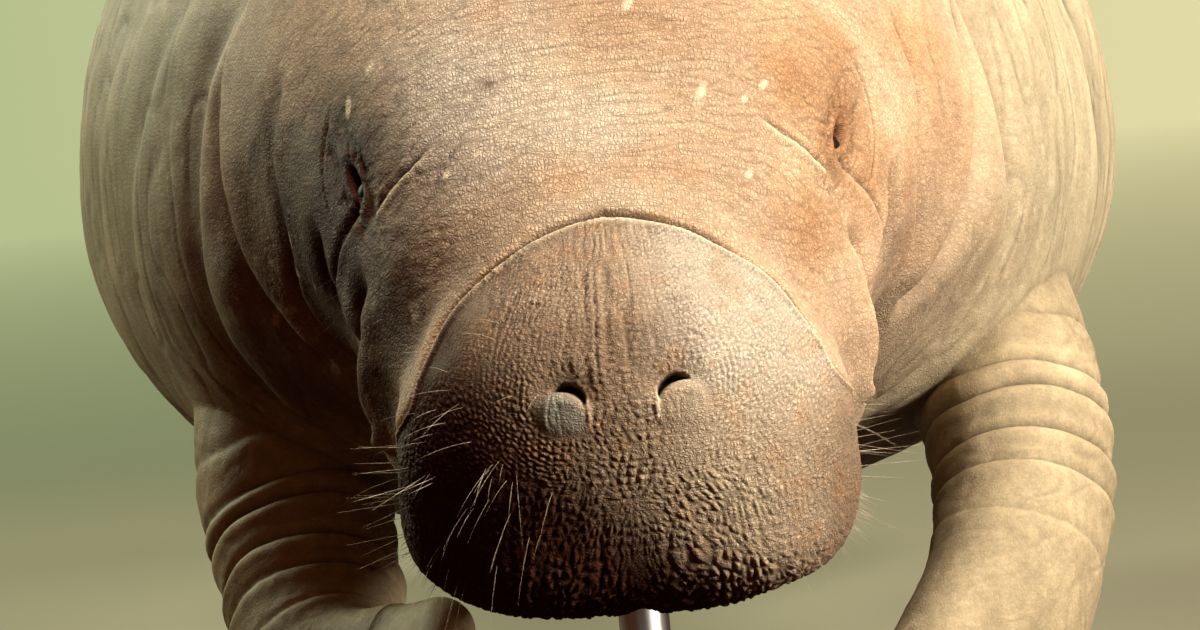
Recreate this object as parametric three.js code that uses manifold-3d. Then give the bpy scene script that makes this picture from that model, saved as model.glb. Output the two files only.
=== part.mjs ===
// A life-size Florida manatee, hovering with its head bowed and its flippers folded in under the chin, on a flat
// base with two short rods. Millimetres, +Z up. The head faces -Y, the animal's left is +X, and the origin is the
// centre of the base's underside. "along" is the distance behind the muzzle's front, measured on the spine, and
// "turn" is the angle round the body from the middle of the back, positive towards the animal's left.
import * as THREE from "three";
import { mergeVertices } from "three/addons/utils/BufferGeometryUtils.js";
import Module from "manifold-3d";

const wasm = await Module();
wasm.setup();

const { degToRad, lerp, clamp, smoothstep, DEG2RAD } = THREE.MathUtils;
const vec = (x, y, z) => new THREE.Vector3(x, y, z);

// Driving dimensions
const LENGTH = 3000; // muzzle to tail tip along the spine
const GAP = 0.3; // between touching pieces
const CREASE = 128; // where the fold behind the muzzle lies
const MUZZLE_HEIGHT = 423; // of the muzzle's foremost point above the floor
const HEAD_PITCH = 26; // degrees, how far the head is bowed
const NECK_BEND = [220, 490]; // the stretch of the spine that bends
const TAIL_DROOP = 8; // degrees
const TAIL_BEND = [1700, 2350];
const STAND_CENTRE = 1210; // behind the muzzle's foremost point
const BASE = { length: 1150, width: 560, thick: 28, corner: 60, bevel: 3 };
const ROD = { radius: 20, flange: 62, flangeThick: 9, spread: 420, reach: 200 };

// The body's cross-sections: half width, rise to the back, drop to the belly, and how square the upper and the lower
// half are, where 2 is an ellipse. pear widens the lower half.
const STATIONS = [
  { name: "lips", along: 60, half: 127, rise: 93, drop: 103, top: 2.1, low: 3.0, pear: 0.1 },
  { name: "snout", along: 104, half: 124, rise: 99, drop: 104, top: 2.0, low: 2.8, pear: 0.1 },
  { name: "crease", along: CREASE, half: 124, rise: 103, drop: 108, top: 2.0, low: 2.5, pear: 0.08 },
  { name: "cheeks", along: 172, half: 145, rise: 116, drop: 130, top: 2.2, low: 2.5, pear: 0.06 },
  { name: "eyes", along: 250, half: 167, rise: 138, drop: 144, top: 2.4, low: 2.4, pear: 0.03 },
  { name: "nape", along: 340, half: 196, rise: 176, drop: 160, top: 2.3, low: 2.2, pear: 0 },
  { name: "neck", along: 450, half: 246, rise: 237, drop: 180, top: 2.2, low: 2.2, pear: 0 },
  { name: "shoulders", along: 600, half: 312, rise: 306, drop: 216, top: 2.1, low: 2.2, pear: 0 },
  { name: "chest", along: 800, half: 372, rise: 350, drop: 258, top: 2.1, low: 2.2, pear: 0 },
  { name: "girth", along: 1100, half: 402, rise: 370, drop: 282, top: 2.1, low: 2.2, pear: 0 },
  { name: "flank", along: 1400, half: 388, rise: 352, drop: 274, top: 2.1, low: 2.2, pear: 0 },
  { name: "loins", along: 1700, half: 320, rise: 290, drop: 238, top: 2.1, low: 2.1, pear: 0 },
  { name: "vent", along: 1980, half: 230, rise: 204, drop: 182, top: 2, low: 2, pear: 0 },
  { name: "stock", along: 2200, half: 163, rise: 124, drop: 120, top: 1.9, low: 1.9, pear: 0 },
  { name: "waist", along: 2330, half: 150, rise: 85, drop: 86, top: 1.7, low: 1.7, pear: 0 },
  { name: "fan", along: 2490, half: 240, rise: 58, drop: 60, top: 1.45, low: 1.45, pear: 0 },
  { name: "paddle", along: 2680, half: 338, rise: 42, drop: 42, top: 1.3, low: 1.3, pear: 0 },
  { name: "blade", along: 2860, half: 350, rise: 28, drop: 28, top: 1.3, low: 1.3, pear: 0 },
  { name: "edge", along: LENGTH, half: 350, rise: 17, drop: 17, top: 1.5, low: 1.5, pear: 0 },
];
const MUZZLE_CAP = { above: 112, below: 62, blunt: 2.4 }; // how far back the rounded front of the muzzle reaches
const TAIL_CAP = { outline: 370, round: 2.3, rim: 45 }; // the rounded end of the paddle and of its thickness

// The nodes of the trunk, from the crease to the tail tip.
const TRUNK = [
  { name: "head", from: CREASE, to: 330, step: 14, around: 56, colour: 0x9b7152 },
  { name: "neck", from: 330, to: 500, step: 11.5, around: 52, colour: 0x96704f },
  { name: "chest", from: 500, to: 950, step: 45, around: 48, colour: 0x8f6f52 },
  { name: "belly", from: 950, to: 1500, step: 69, around: 44, colour: 0x8f6f52 },
  { name: "loins", from: 1500, to: 1950, step: 64, around: 44, colour: 0x8c6c50 },
  { name: "tail_stock", from: 1950, to: 2380, step: 54, around: 40, colour: 0x896a4f },
  { name: "tail_paddle", from: 2380, to: LENGTH, step: 41, around: 44, colour: 0x866850 },
];
const MUZZLE_ROWS = [1, 4, 9, 16, 24, 33, 43, 54, 66, 80, 94, 106, 115, 121, 125];
const MUZZLE_AROUND = 56;

// Where the crease lies on its way down each side: it starts at CREASE on top, sweeps forward and ends at the mouth's
// corner. What lies near it is moved along with it.
const CREASE_LINE = [
  { turn: 0, along: 130 },
  { turn: 20, along: 123 },
  { turn: 40, along: 112 },
  { turn: 52, along: 103 },
  { turn: 62, along: 85 },
  { turn: 72, along: 68 },
  { turn: 84, along: 78 },
  { turn: 98, along: 114 },
  { turn: 112, along: CREASE },
  { turn: 180, along: CREASE },
];
const CREASE_PULL = 330; // how far back the crease's sweep moves the skin

// Skin folds: grooves round the neck, deepest at the sides and below, each with its place at some turns.
const FOLDS = [
  {
    name: "jowl",
    depth: 7,
    width: 9,
    line: [{ turn: 50, along: 270 }, { turn: 80, along: 276 }, { turn: 105, along: 256 }, { turn: 180, along: 284 }],
  },
  {
    name: "cheek",
    depth: 6,
    width: 10,
    line: [{ turn: 50, along: 372 }, { turn: 78, along: 354 }, { turn: 105, along: 340 }, { turn: 180, along: 366 }],
  },
  {
    name: "throat",
    depth: 10,
    width: 12,
    line: [{ turn: 50, along: 430 }, { turn: 88, along: 426 }, { turn: 114, along: 388 }, { turn: 180, along: 404 }],
  },
  {
    name: "nape",
    depth: 8,
    width: 14,
    line: [{ turn: 40, along: 452 }, { turn: 72, along: 482 }, { turn: 112, along: 502 }, { turn: 180, along: 516 }],
  },
];
const CREASE_GROOVE = { depth: 10, width: 5.5, rim: 4, rimAhead: 13, rimWidth: 9 };
const CLEFT = { depth: 8, width: 9, reach: 95 }; // the groove between the two lip pads
const PADS = { swell: 7, turn: 122, spread: 30, along: 34, length: 34 };
const EYE = { along: 254, turn: 60, radius: 11, sink: 8, lid: 11.5, lidThick: 3.6, hollow: 8, hollowWidth: 26 };
const NOSTRIL = { along: 14, turn: 25, width: 13, height: 12, depth: 15, tilt: 32 };
const JAW = [
  { along: 70, half: 72, rise: 44, drop: 40 },
  { along: 104, half: 88, rise: 44, drop: 52 },
  { along: 142, half: 92, rise: 44, drop: 55 },
  { along: 185, half: 80, rise: 30, drop: 30 },
];
const JAW_START = 44;
const JAW_CENTRE = -74; // below the spine
const JAW_CAP = 44;
const JAW_AROUND = 32;

// Flippers: the joints of each centreline as [out from the midline, behind the muzzle, above the floor].
const FLIPPERS = {
  left: {
    side: 1,
    joints: [[166, 676, 500], [254, 622, 438], [259, 512, 345], [229, 425, 268], [170, 352, 196], [84, 290, 136]],
  },
  right: {
    side: -1,
    joints: [[158, 676, 486], [230, 622, 417], [217, 520, 320], [204, 425, 258], [164, 335, 262], [112, 262, 318]],
  },
};
// Sizes at the joints root, shoulder, elbow, wrist, palm and tip. hint is the way from the leading to the trailing
// edge, and thin is how much the trailing half tapers.
const LIMB = [
  { width: 176, thick: 136, thin: 0, hint: [0.1, 1, -0.1] },
  { width: 152, thick: 126, thin: 0, hint: [0.1, 1, -0.2] },
  { width: 148, thick: 116, thin: 0.05, hint: [0.3, 0.85, -0.4] },
  { width: 150, thick: 86, thin: 0.2, hint: [0.45, 0.6, -0.65] },
  { width: 158, thick: 54, thin: 0.35, hint: [0.5, 0.35, -0.8] },
  { width: 126, thick: 30, thin: 0.4, hint: [0.5, 0.3, -0.8] },
];
const LIMB_TIP = { start: 0.83, round: 2.3 }; // where the end of the flipper starts to round off
const LIMB_SPLIT = 0.47; // share of the way from root to tip where the arm ends and the hand begins
const LIMB_AROUND = 24;
const LIMB_BANDS = { from: 0.22, to: 0.4, count: 4, depth: 3.2 };
const NAILS = [{ at: 0.93, across: -0.62 }, { at: 0.965, across: -0.28 }, { at: 0.972, across: 0.1 }];
const NAIL = { length: 23, width: 15, thick: 8 };

const RING_GAP = GAP / 2;

// Reads a column of a table at any value of its first column, on a smooth curve through the rows.
function column(rows, key, value, first = "along") {
  const last = rows.length - 1;
  let i = 0;
  while (i < last - 1 && value > rows[i + 1][first]) i++;
  const slope = (j) => {
    const a = rows[Math.max(0, j - 1)];
    const b = rows[Math.min(last, j + 1)];
    return (b[key] - a[key]) / (b[first] - a[first]);
  };
  const [p, q] = [rows[i], rows[i + 1]];
  const span = q[first] - p[first];
  const t = clamp((value - p[first]) / span, 0, 1);
  const [t2, t3] = [t * t, t * t * t];
  return (
    (2 * t3 - 3 * t2 + 1) * p[key] +
    (t3 - 2 * t2 + t) * span * slope(i) +
    (-2 * t3 + 3 * t2) * q[key] +
    (t3 - t2) * span * slope(i + 1)
  );
}

// The spine lies in the plane of symmetry. It is walked in short steps from the muzzle's front.
const SPINE_STEP = 5;
const spinePitch = (along) =>
  degToRad(HEAD_PITCH * (1 - smoothstep(along, ...NECK_BEND)) - TAIL_DROOP * smoothstep(along, ...TAIL_BEND));
const spinePoints = [{ y: -STAND_CENTRE, z: MUZZLE_HEIGHT }];
for (let along = SPINE_STEP / 2; along < LENGTH; along += SPINE_STEP) {
  const { y, z } = spinePoints.at(-1);
  const pitch = spinePitch(along);
  spinePoints.push({ y: y + SPINE_STEP * Math.cos(pitch), z: z + SPINE_STEP * Math.sin(pitch) });
}

function spineAt(along) {
  const i = clamp(Math.floor(along / SPINE_STEP), 0, spinePoints.length - 2);
  const t = along / SPINE_STEP - i;
  const [p, q] = [spinePoints[i], spinePoints[i + 1]];
  return { y: lerp(p.y, q.y, t), z: lerp(p.z, q.z, t), pitch: spinePitch(along) };
}

// A point of the plane square to the spine, from its sideways and upward distance.
function offSpine(along, sideways, upward) {
  const { y, z, pitch } = spineAt(along);
  return vec(sideways, y - upward * Math.sin(pitch), z + upward * Math.cos(pitch));
}

const bump = (x, width) => Math.exp(-((x / width) ** 2));
const power = (x, exponent) => Math.sign(x) * Math.abs(x) ** exponent;
// The share of full size at a distance from a rounded end.
const rounded = (x, length, blunt) => (x >= length ? 1 : (1 - (1 - x / length) ** blunt) ** (1 / blunt));
// How far a turn is from the middle of the back, in degrees.
const sideDegrees = (turn) => Math.abs(Math.atan2(Math.sin(turn), Math.cos(turn))) / DEG2RAD;

// How far forward the crease's sweep moves the skin.
function creasePull(along, turn) {
  const sweep = column(CREASE_LINE, "along", sideDegrees(turn), "turn") - CREASE;
  return sweep * (along < CREASE ? along / CREASE : 1 - smoothstep(along, CREASE, CREASE_PULL));
}

// How far the skin stands out from the plain section, in millimetres.
function relief(along, turn) {
  const degrees = sideDegrees(turn);
  const onSnout = 1 - smoothstep(degrees, 96, 128);
  let out = -CREASE_GROOVE.depth * onSnout * bump(along - CREASE, CREASE_GROOVE.width);
  out += CREASE_GROOVE.rim * onSnout * bump(along - CREASE + CREASE_GROOVE.rimAhead, CREASE_GROOVE.rimWidth);
  out += PADS.swell * bump(degrees - PADS.turn, PADS.spread) * bump(along - PADS.along, PADS.length);
  const below = smoothstep(degrees, 110, 150) * (1 - smoothstep(along, CLEFT.reach * 0.6, CLEFT.reach));
  out -= CLEFT.depth * below * bump(Math.sin(turn) * column(STATIONS, "half", Math.max(along, 60)), CLEFT.width);
  for (const { depth, width, line } of FOLDS) {
    const reach = smoothstep(degrees, 35, 80) * (1 - 0.5 * smoothstep(degrees, 135, 175));
    out -= depth * reach * bump(along - column(line, "along", degrees, "turn"), width);
  }
  const round = column(STATIONS, "half", along) * degToRad(degrees - EYE.turn);
  out -= EYE.hollow * bump(Math.hypot(along - EYE.along, round), EYE.hollowWidth);
  return out;
}

// A point of the manatee's skin, grown outwards by a distance where a clearance is wanted.
function skinPoint(along, turn, grow = 0) {
  const place = along + creasePull(along, turn);
  const read = (key) => column(STATIONS, key, Math.max(place, STATIONS[0].along));
  const [sine, cosine] = [Math.sin(turn), Math.cos(turn)];
  const square = cosine >= 0 ? read("top") : read("low");
  const height = cosine >= 0 ? read("rise") : read("drop");
  const front = lerp(MUZZLE_CAP.below, MUZZLE_CAP.above, (1 + cosine) / 2);
  const nose = rounded(place, front, MUZZLE_CAP.blunt);
  const tail = rounded(LENGTH - along, TAIL_CAP.outline, TAIL_CAP.round);
  const rim = rounded(LENGTH - along, TAIL_CAP.rim, 2);
  let sideways = read("half") * power(sine, 2 / square) * nose * tail;
  let upward = height * power(cosine, 2 / square) * nose * rim;
  sideways *= 1 - (read("pear") * upward) / height;
  const radius = Math.hypot(sideways, upward);
  const share = radius > 1e-6 ? 1 + (relief(along, turn) * nose * rim + grow) / radius : 1;
  return offSpine(place, sideways * share, upward * share);
}

// Closed geometry

// A closed skin over rings of points, ended at each end by one point. Each square is cut along its shorter diagonal.
function loft(rings, first, last) {
  const around = rings[0].length;
  const points = [first, ...rings.flat(), last];
  const at = (ring, i) => 1 + ring * around + (i % around);
  const index = [];
  for (let i = 0; i < around; i++) {
    index.push(0, at(0, i + 1), at(0, i));
    for (let ring = 0; ring < rings.length - 1; ring++) {
      const [a, b, c, d] = [at(ring, i), at(ring, i + 1), at(ring + 1, i), at(ring + 1, i + 1)];
      const shortest = points[b].distanceTo(points[c]) <= points[a].distanceTo(points[d]);
      index.push(...(shortest ? [a, b, c, b, d, c] : [a, b, d, a, d, c]));
    }
    index.push(points.length - 1, at(rings.length - 1, i), at(rings.length - 1, i + 1));
  }
  const made = new THREE.BufferGeometry().setFromPoints(points);
  made.setIndex(index);
  return made;
}

const middle = (ring) => ring.reduce((sum, p) => sum.add(p), vec(0, 0, 0)).divideScalar(ring.length);

function toSolid(geometry, matrix = new THREE.Matrix4()) {
  const bare = geometry.clone().applyMatrix4(matrix);
  bare.deleteAttribute("normal");
  bare.deleteAttribute("uv");
  const merged = mergeVertices(bare, 1e-3);
  const triVerts = new Uint32Array(merged.index.array);
  const vertProperties = merged.attributes.position.array;
  const make = () => new wasm.Manifold(new wasm.Mesh({ numProp: 3, vertProperties, triVerts }));
  const solid = make();
  if (solid.volume() > 0) return solid;
  for (let i = 0; i < triVerts.length; i += 3) [triVerts[i], triVerts[i + 1]] = [triVerts[i + 1], triVerts[i]];
  return make();
}

// The largest closed surface of a solid, as a geometry.
function toGeometry(solid) {
  const largest = solid.decompose().reduce((a, b) => (b.volume() > a.volume() ? b : a));
  const { numProp, numVert, vertProperties, triVerts } = largest.getMesh();
  const points = [];
  for (let i = 0; i < numVert; i++) points.push(vec(...vertProperties.subarray(i * numProp, i * numProp + 3)));
  const made = new THREE.BufferGeometry().setFromPoints(points);
  made.setIndex([...triVerts]);
  return made;
}

const model = new THREE.Group();

function addNode(name, solid, colour, roughness = 0.75) {
  const material = new THREE.MeshStandardMaterial({ color: colour, roughness, metalness: 0 });
  const mesh = new THREE.Mesh(toGeometry(solid), material);
  mesh.name = name;
  mesh.geometry.computeVertexNormals();
  model.add(mesh);
}

// Trunk

function skinRing(along, around, grow) {
  return Array.from({ length: around }, (_, i) => skinPoint(along, (i / around) * Math.PI * 2, grow));
}

function trunkRows({ from, to, step }, grow) {
  const start = from + RING_GAP - grow;
  const end = to === LENGTH ? LENGTH - 1.5 : to - RING_GAP + grow;
  const count = Math.round((end - start) / step);
  const rows = Array.from({ length: count + 1 }, (_, i) => lerp(start, end, i / count));
  if (to === LENGTH) rows.splice(-1, 0, LENGTH - 24, LENGTH - 9);
  return rows;
}

function trunkSolid(part, grow = 0) {
  const rings = trunkRows(part, grow).map((along) => skinRing(along, part.around, grow));
  const end = part.to === LENGTH ? offSpine(LENGTH, 0, 0) : middle(rings.at(-1));
  return toSolid(loft(rings, middle(rings[0]), end));
}

// The muzzle with its two nostrils

function muzzleSolid(grow = 0) {
  const rows = [...MUZZLE_ROWS, CREASE - RING_GAP + grow];
  const rings = rows.map((along) => skinRing(along, MUZZLE_AROUND, grow));
  return toSolid(loft(rings, offSpine(-grow, 0, 0), middle(rings.at(-1))));
}

// A scoop that runs into the muzzle and upwards, so that the floor of the nostril shows below its opening.
function nostrilScoop(side) {
  const place = skinPoint(NOSTRIL.along, side * degToRad(NOSTRIL.turn));
  const turned = new THREE.Euler(degToRad(NOSTRIL.tilt - HEAD_PITCH), 0, 0);
  const size = vec(NOSTRIL.width, NOSTRIL.depth, NOSTRIL.height);
  const matrix = new THREE.Matrix4().compose(place, new THREE.Quaternion().setFromEuler(turned), size);
  return toSolid(new THREE.SphereGeometry(1, 16, 12), matrix);
}

// The lower jaw, cut to fit under the muzzle and against the head

function jawSolid() {
  const end = JAW.at(-1).along;
  const rings = [];
  for (let along = JAW_START + 2; along <= end; along += along < JAW_START + 24 ? 5 : 10) {
    const read = (key) => column(JAW, key, Math.max(along, JAW[0].along));
    const cap = rounded(along - JAW_START, JAW_CAP, 2.2);
    rings.push(
      Array.from({ length: JAW_AROUND }, (_, i) => {
        const turn = (i / JAW_AROUND) * Math.PI * 2;
        const height = Math.cos(turn) >= 0 ? read("rise") : read("drop");
        const upward = JAW_CENTRE + height * cap * power(Math.cos(turn), 0.85);
        return offSpine(along, read("half") * cap * power(Math.sin(turn), 0.85), upward);
      }),
    );
  }
  return toSolid(loft(rings, offSpine(JAW_START, 0, JAW_CENTRE), offSpine(end, 0, JAW_CENTRE)));
}

// Eyes and lids

function eyeCentre(side) {
  const turn = side * degToRad(EYE.turn);
  const surface = skinPoint(EYE.along, turn);
  const ahead = skinPoint(EYE.along + 6, turn).sub(skinPoint(EYE.along - 6, turn));
  const round = skinPoint(EYE.along, turn + 0.04 * side).sub(skinPoint(EYE.along, turn - 0.04 * side));
  const out = round.cross(ahead).normalize();
  if (out.x * side < 0) out.negate();
  return { centre: surface.clone().addScaledVector(out, -EYE.sink), surface, out };
}

const sphereAt = (centre, radius, columns, rows) =>
  toSolid(new THREE.SphereGeometry(radius, columns, rows), new THREE.Matrix4().setPosition(centre));

function lidRing(side) {
  const { surface, out } = eyeCentre(side);
  const turned = new THREE.Quaternion().setFromUnitVectors(vec(0, 0, 1), out);
  const place = surface.clone().addScaledVector(out, -1);
  const matrix = new THREE.Matrix4().compose(place, turned, vec(1, 1, 1));
  return toSolid(new THREE.TorusGeometry(EYE.lid, EYE.lidThick, 6, 16), matrix);
}

// Flippers

function limbReader(flipper) {
  const { side, joints } = flipper;
  const points = joints.map(([out, back, up]) => vec(side * out, back - STAND_CENTRE, up));
  const curve = new THREE.CatmullRomCurve3(points, false, "catmullrom", 0.5);
  const sizes = LIMB.map((size, i) => ({
    ...size,
    along: i / (LIMB.length - 1),
    hintX: side * size.hint[0],
    hintY: size.hint[1],
    hintZ: size.hint[2],
  }));
  return function section(at) {
    const read = (key) => column(sizes, key, at);
    const tangent = curve.getTangent(at);
    const across = vec(read("hintX"), read("hintY"), read("hintZ"));
    across.addScaledVector(tangent, -across.dot(tangent)).normalize();
    const outward = across.clone().cross(tangent).multiplyScalar(side).normalize();
    const cap = at > LIMB_TIP.start ? rounded(1 - at, 1 - LIMB_TIP.start, LIMB_TIP.round) : 1;
    const rim = rounded(1 - at, 0.04, 2);
    const [half, thick, thin] = [(read("width") / 2) * cap, (read("thick") / 2) * rim, read("thin")];
    return { centre: curve.getPoint(at), across, outward, half, thick, thin };
  };
}

// The skin rolls of the upper arm.
function bandRelief(at) {
  const t = (at - LIMB_BANDS.from) / (LIMB_BANDS.to - LIMB_BANDS.from);
  if (t <= 0 || t >= 1) return 0;
  return -LIMB_BANDS.depth * (1 - Math.abs(Math.sin(t * Math.PI * LIMB_BANDS.count)) ** 0.6);
}

// share runs from -1 at the leading edge to 1 at the trailing edge, and sign picks the outward or the inward face.
function limbSurface(section, angle, grow = 0) {
  const { centre, across, outward, half, thick, thin } = section;
  const share = -Math.cos(angle);
  const out = thick * Math.sin(angle) * (1 - thin * share);
  const along = half * share;
  const radius = Math.hypot(along, out);
  const scale = 1 + (radius > 1e-6 ? grow / radius : 0);
  return centre.clone().addScaledVector(across, along * scale).addScaledVector(outward, out * scale);
}

function limbSolid(section, from, to, steps, grow = 0) {
  const rings = [];
  for (let i = 0; i <= steps; i++) {
    const at = lerp(from, to, i / steps);
    const out = bandRelief(at) + grow;
    rings.push(
      Array.from({ length: LIMB_AROUND }, (_, j) => limbSurface(section(at), (j / LIMB_AROUND) * 2 * Math.PI, out)),
    );
  }
  const end = to > 0.99 ? section(1).centre : middle(rings.at(-1));
  return toSolid(loft(rings, middle(rings[0]), end));
}

function nailSolid(section, { at, across }) {
  const here = section(at);
  const angle = Math.acos(-across);
  const place = limbSurface(here, angle).addScaledVector(here.outward, -1);
  const along = section(at).centre.sub(section(at - 0.02).centre).normalize();
  const out = here.outward;
  const wide = along.clone().cross(out).normalize();
  const matrix = new THREE.Matrix4().makeBasis(wide, along, out).setPosition(place);
  matrix.scale(vec(NAIL.width / 2, NAIL.length / 2, NAIL.thick / 2));
  return toSolid(new THREE.SphereGeometry(1, 10, 6), matrix);
}

// Stand

function baseSolid() {
  const { length, width, thick, corner, bevel } = BASE;
  const [x, y] = [width / 2 - bevel, length / 2 - bevel];
  const shape = new THREE.Shape();
  shape.moveTo(-x + corner, -y);
  shape.lineTo(x - corner, -y);
  shape.absarc(x - corner, -y + corner, corner, -Math.PI / 2, 0);
  shape.lineTo(x, y - corner);
  shape.absarc(x - corner, y - corner, corner, 0, Math.PI / 2);
  shape.lineTo(-x + corner, y);
  shape.absarc(-x + corner, y - corner, corner, Math.PI / 2, Math.PI);
  shape.lineTo(-x, -y + corner);
  shape.absarc(-x + corner, -y + corner, corner, Math.PI, Math.PI * 1.5);
  const bevelled = { bevelThickness: bevel, bevelSize: bevel, bevelSegments: 1, curveSegments: 6 };
  const made = new THREE.ExtrudeGeometry(shape, { depth: thick - 2 * bevel, bevelEnabled: true, ...bevelled });
  return toSolid(made, new THREE.Matrix4().makeTranslation(0, 0, bevel));
}

function rodSolid(y) {
  const { radius, flange, flangeThick, reach } = ROD;
  const foot = BASE.thick + GAP;
  const top = MUZZLE_HEIGHT + reach;
  const profile = [
    [0, foot],
    [flange, foot],
    [flange, foot + flangeThick * 0.6],
    [flange - 4, foot + flangeThick],
    [radius + 4, foot + flangeThick],
    [radius, foot + flangeThick + 4],
    [radius, top],
    [0, top],
  ].map(([r, z]) => new THREE.Vector2(r, z));
  const upright = new THREE.Matrix4().makeTranslation(0, y, 0).multiply(new THREE.Matrix4().makeRotationX(Math.PI / 2));
  return toSolid(new THREE.LatheGeometry(profile, 24), upright);
}

// Assembly

const muzzle = muzzleSolid();
const head = trunkSolid(TRUNK[0]);
addNode("muzzle", muzzle.subtract(nostrilScoop(1)).subtract(nostrilScoop(-1)), 0x8d6549);
addNode("lower_jaw", jawSolid().subtract(muzzleSolid(GAP)).subtract(trunkSolid(TRUNK[0], GAP)), 0x7d5a43);

let headWithLids = head.add(lidRing(1)).add(lidRing(-1));
for (const [name, side] of [["eye_left", 1], ["eye_right", -1]]) {
  const { centre } = eyeCentre(side);
  headWithLids = headWithLids.subtract(sphereAt(centre, EYE.radius + GAP, 16, 10));
  addNode(name, sphereAt(centre, EYE.radius, 16, 10), 0x140d09, 0.15);
}
addNode("head", headWithLids, TRUNK[0].colour);
for (const part of TRUNK.slice(1)) addNode(part.name, trunkSolid(part), part.colour);

const room = Object.fromEntries(TRUNK.map((part) => [part.name, trunkSolid(part, GAP)]));
const limbRoom = room.head.add(room.neck).add(room.chest).add(room.belly).add(muzzleSolid(GAP));
for (const [name, flipper] of Object.entries(FLIPPERS)) {
  const section = limbReader(flipper);
  const split = RING_GAP / 620;
  const arm = limbSolid(section, 0, LIMB_SPLIT - split, 15).subtract(limbRoom);
  const hand = limbSolid(section, LIMB_SPLIT + split, 0.997, 15).subtract(limbRoom);
  const handRoom = limbSolid(section, LIMB_SPLIT + split, 0.997, 15, GAP);
  addNode("flipper_" + name + "_arm", arm, 0x9c7a5a);
  addNode("flipper_" + name + "_hand", hand, 0x97745a);
  NAILS.forEach((nail, i) => {
    addNode("nail_" + name + "_" + (i + 1), nailSolid(section, nail).subtract(handRoom), 0xc9b391, 0.4);
  });
}

addNode("stand_base", baseSolid(), 0x2b2d2f, 0.45);
addNode("stand_rod_front", rodSolid(-ROD.spread / 2).subtract(room.belly), 0x9a9da0, 0.35);
addNode("stand_rod_rear", rodSolid(ROD.spread / 2).subtract(room.belly), 0x9a9da0, 0.35);

export default model;
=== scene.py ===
"""The manatee's looks: one wrinkled skin over the solids, eyes, nails, whiskers and the stand's finish.

Lengths are in millimetres until a mesh is made, and in metres for the floor, the lights and the camera.
"along" is the distance behind the muzzle's front, measured on the spine. "turn" is the angle round the body
from the middle of the back, positive towards the animal's left, and "degrees" is its size on either side.
"""

import copy
import itertools
import math

import bpy
import numpy as np
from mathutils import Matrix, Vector
from mathutils.bvhtree import BVHTree


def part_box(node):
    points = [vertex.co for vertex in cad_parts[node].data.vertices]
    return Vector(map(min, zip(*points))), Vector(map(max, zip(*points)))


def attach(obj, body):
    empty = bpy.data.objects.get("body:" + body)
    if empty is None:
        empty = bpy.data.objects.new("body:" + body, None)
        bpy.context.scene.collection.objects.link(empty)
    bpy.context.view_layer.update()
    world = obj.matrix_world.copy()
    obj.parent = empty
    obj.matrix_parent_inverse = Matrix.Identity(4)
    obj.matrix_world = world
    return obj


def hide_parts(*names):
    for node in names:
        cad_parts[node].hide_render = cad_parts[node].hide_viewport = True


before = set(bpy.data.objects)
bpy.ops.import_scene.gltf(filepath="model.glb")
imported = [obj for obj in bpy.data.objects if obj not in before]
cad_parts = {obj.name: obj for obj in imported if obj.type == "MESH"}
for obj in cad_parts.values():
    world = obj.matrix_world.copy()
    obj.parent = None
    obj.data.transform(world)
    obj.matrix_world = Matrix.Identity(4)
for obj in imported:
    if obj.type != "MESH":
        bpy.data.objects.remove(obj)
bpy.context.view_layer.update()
random = np.random.default_rng(11)

MM = 0.001

# Body dimensions, the same as those of the solids
LENGTH = 3000
CREASE = 128
MUZZLE_HEIGHT = 423
HEAD_PITCH = 26
NECK_BEND = (220, 490)
TAIL_DROOP = 8
TAIL_BEND = (1700, 2350)
STAND_CENTRE = 1210
MUZZLE_CAP = {"above": 112, "below": 62, "blunt": 2.4}
TAIL_CAP = {"outline": 370, "round": 2.3, "rim": 45}

STATION_KEYS = ("along", "half", "rise", "drop", "top", "low", "pear")
STATIONS = dict(zip(STATION_KEYS, np.array([
    (60, 127, 93, 103, 2.1, 3.0, 0.1),
    (104, 124, 99, 104, 2.0, 2.8, 0.1),
    (CREASE, 124, 103, 108, 2.0, 2.5, 0.08),
    (172, 145, 116, 130, 2.2, 2.5, 0.06),
    (250, 167, 138, 144, 2.4, 2.4, 0.03),
    (340, 196, 176, 160, 2.3, 2.2, 0),
    (450, 246, 237, 180, 2.2, 2.2, 0),
    (600, 312, 306, 216, 2.1, 2.2, 0),
    (800, 372, 350, 258, 2.1, 2.2, 0),
    (1100, 402, 370, 282, 2.1, 2.2, 0),
    (1400, 388, 352, 274, 2.1, 2.2, 0),
    (1700, 320, 290, 238, 2.1, 2.1, 0),
    (1980, 230, 204, 182, 2, 2, 0),
    (2200, 163, 124, 120, 1.9, 1.9, 0),
    (2330, 150, 85, 86, 1.7, 1.7, 0),
    (2490, 240, 58, 60, 1.45, 1.45, 0),
    (2680, 338, 42, 42, 1.3, 1.3, 0),
    (2860, 350, 28, 28, 1.3, 1.3, 0),
    (LENGTH, 350, 17, 17, 1.5, 1.5, 0),
], dtype=float).T))

# The crease's place on its way down each side, by turn, and how far back its sweep moves the skin
CREASE_LINE = dict(zip(("turn", "along"), np.array([
    (0, 130),
    (20, 123),
    (40, 112),
    (52, 103),
    (62, 85),
    (72, 68),
    (84, 78),
    (98, 114),
    (112, CREASE),
    (180, CREASE),
], dtype=float).T))
CREASE_PULL = 330

# Rows of the skin. Those of the muzzle are evenly spaced on the skin, and the others are (from, to, step).
MUZZLE_ROWS = 205
MUZZLE_END = 132
SKIN_ROWS = [(MUZZLE_END, 380, 1.5), (380, 660, 2.8), (660, 1000, 6), (1000, 2940, 10), (2940, 2999, 5)]
SKIN_AROUND = 740

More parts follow.
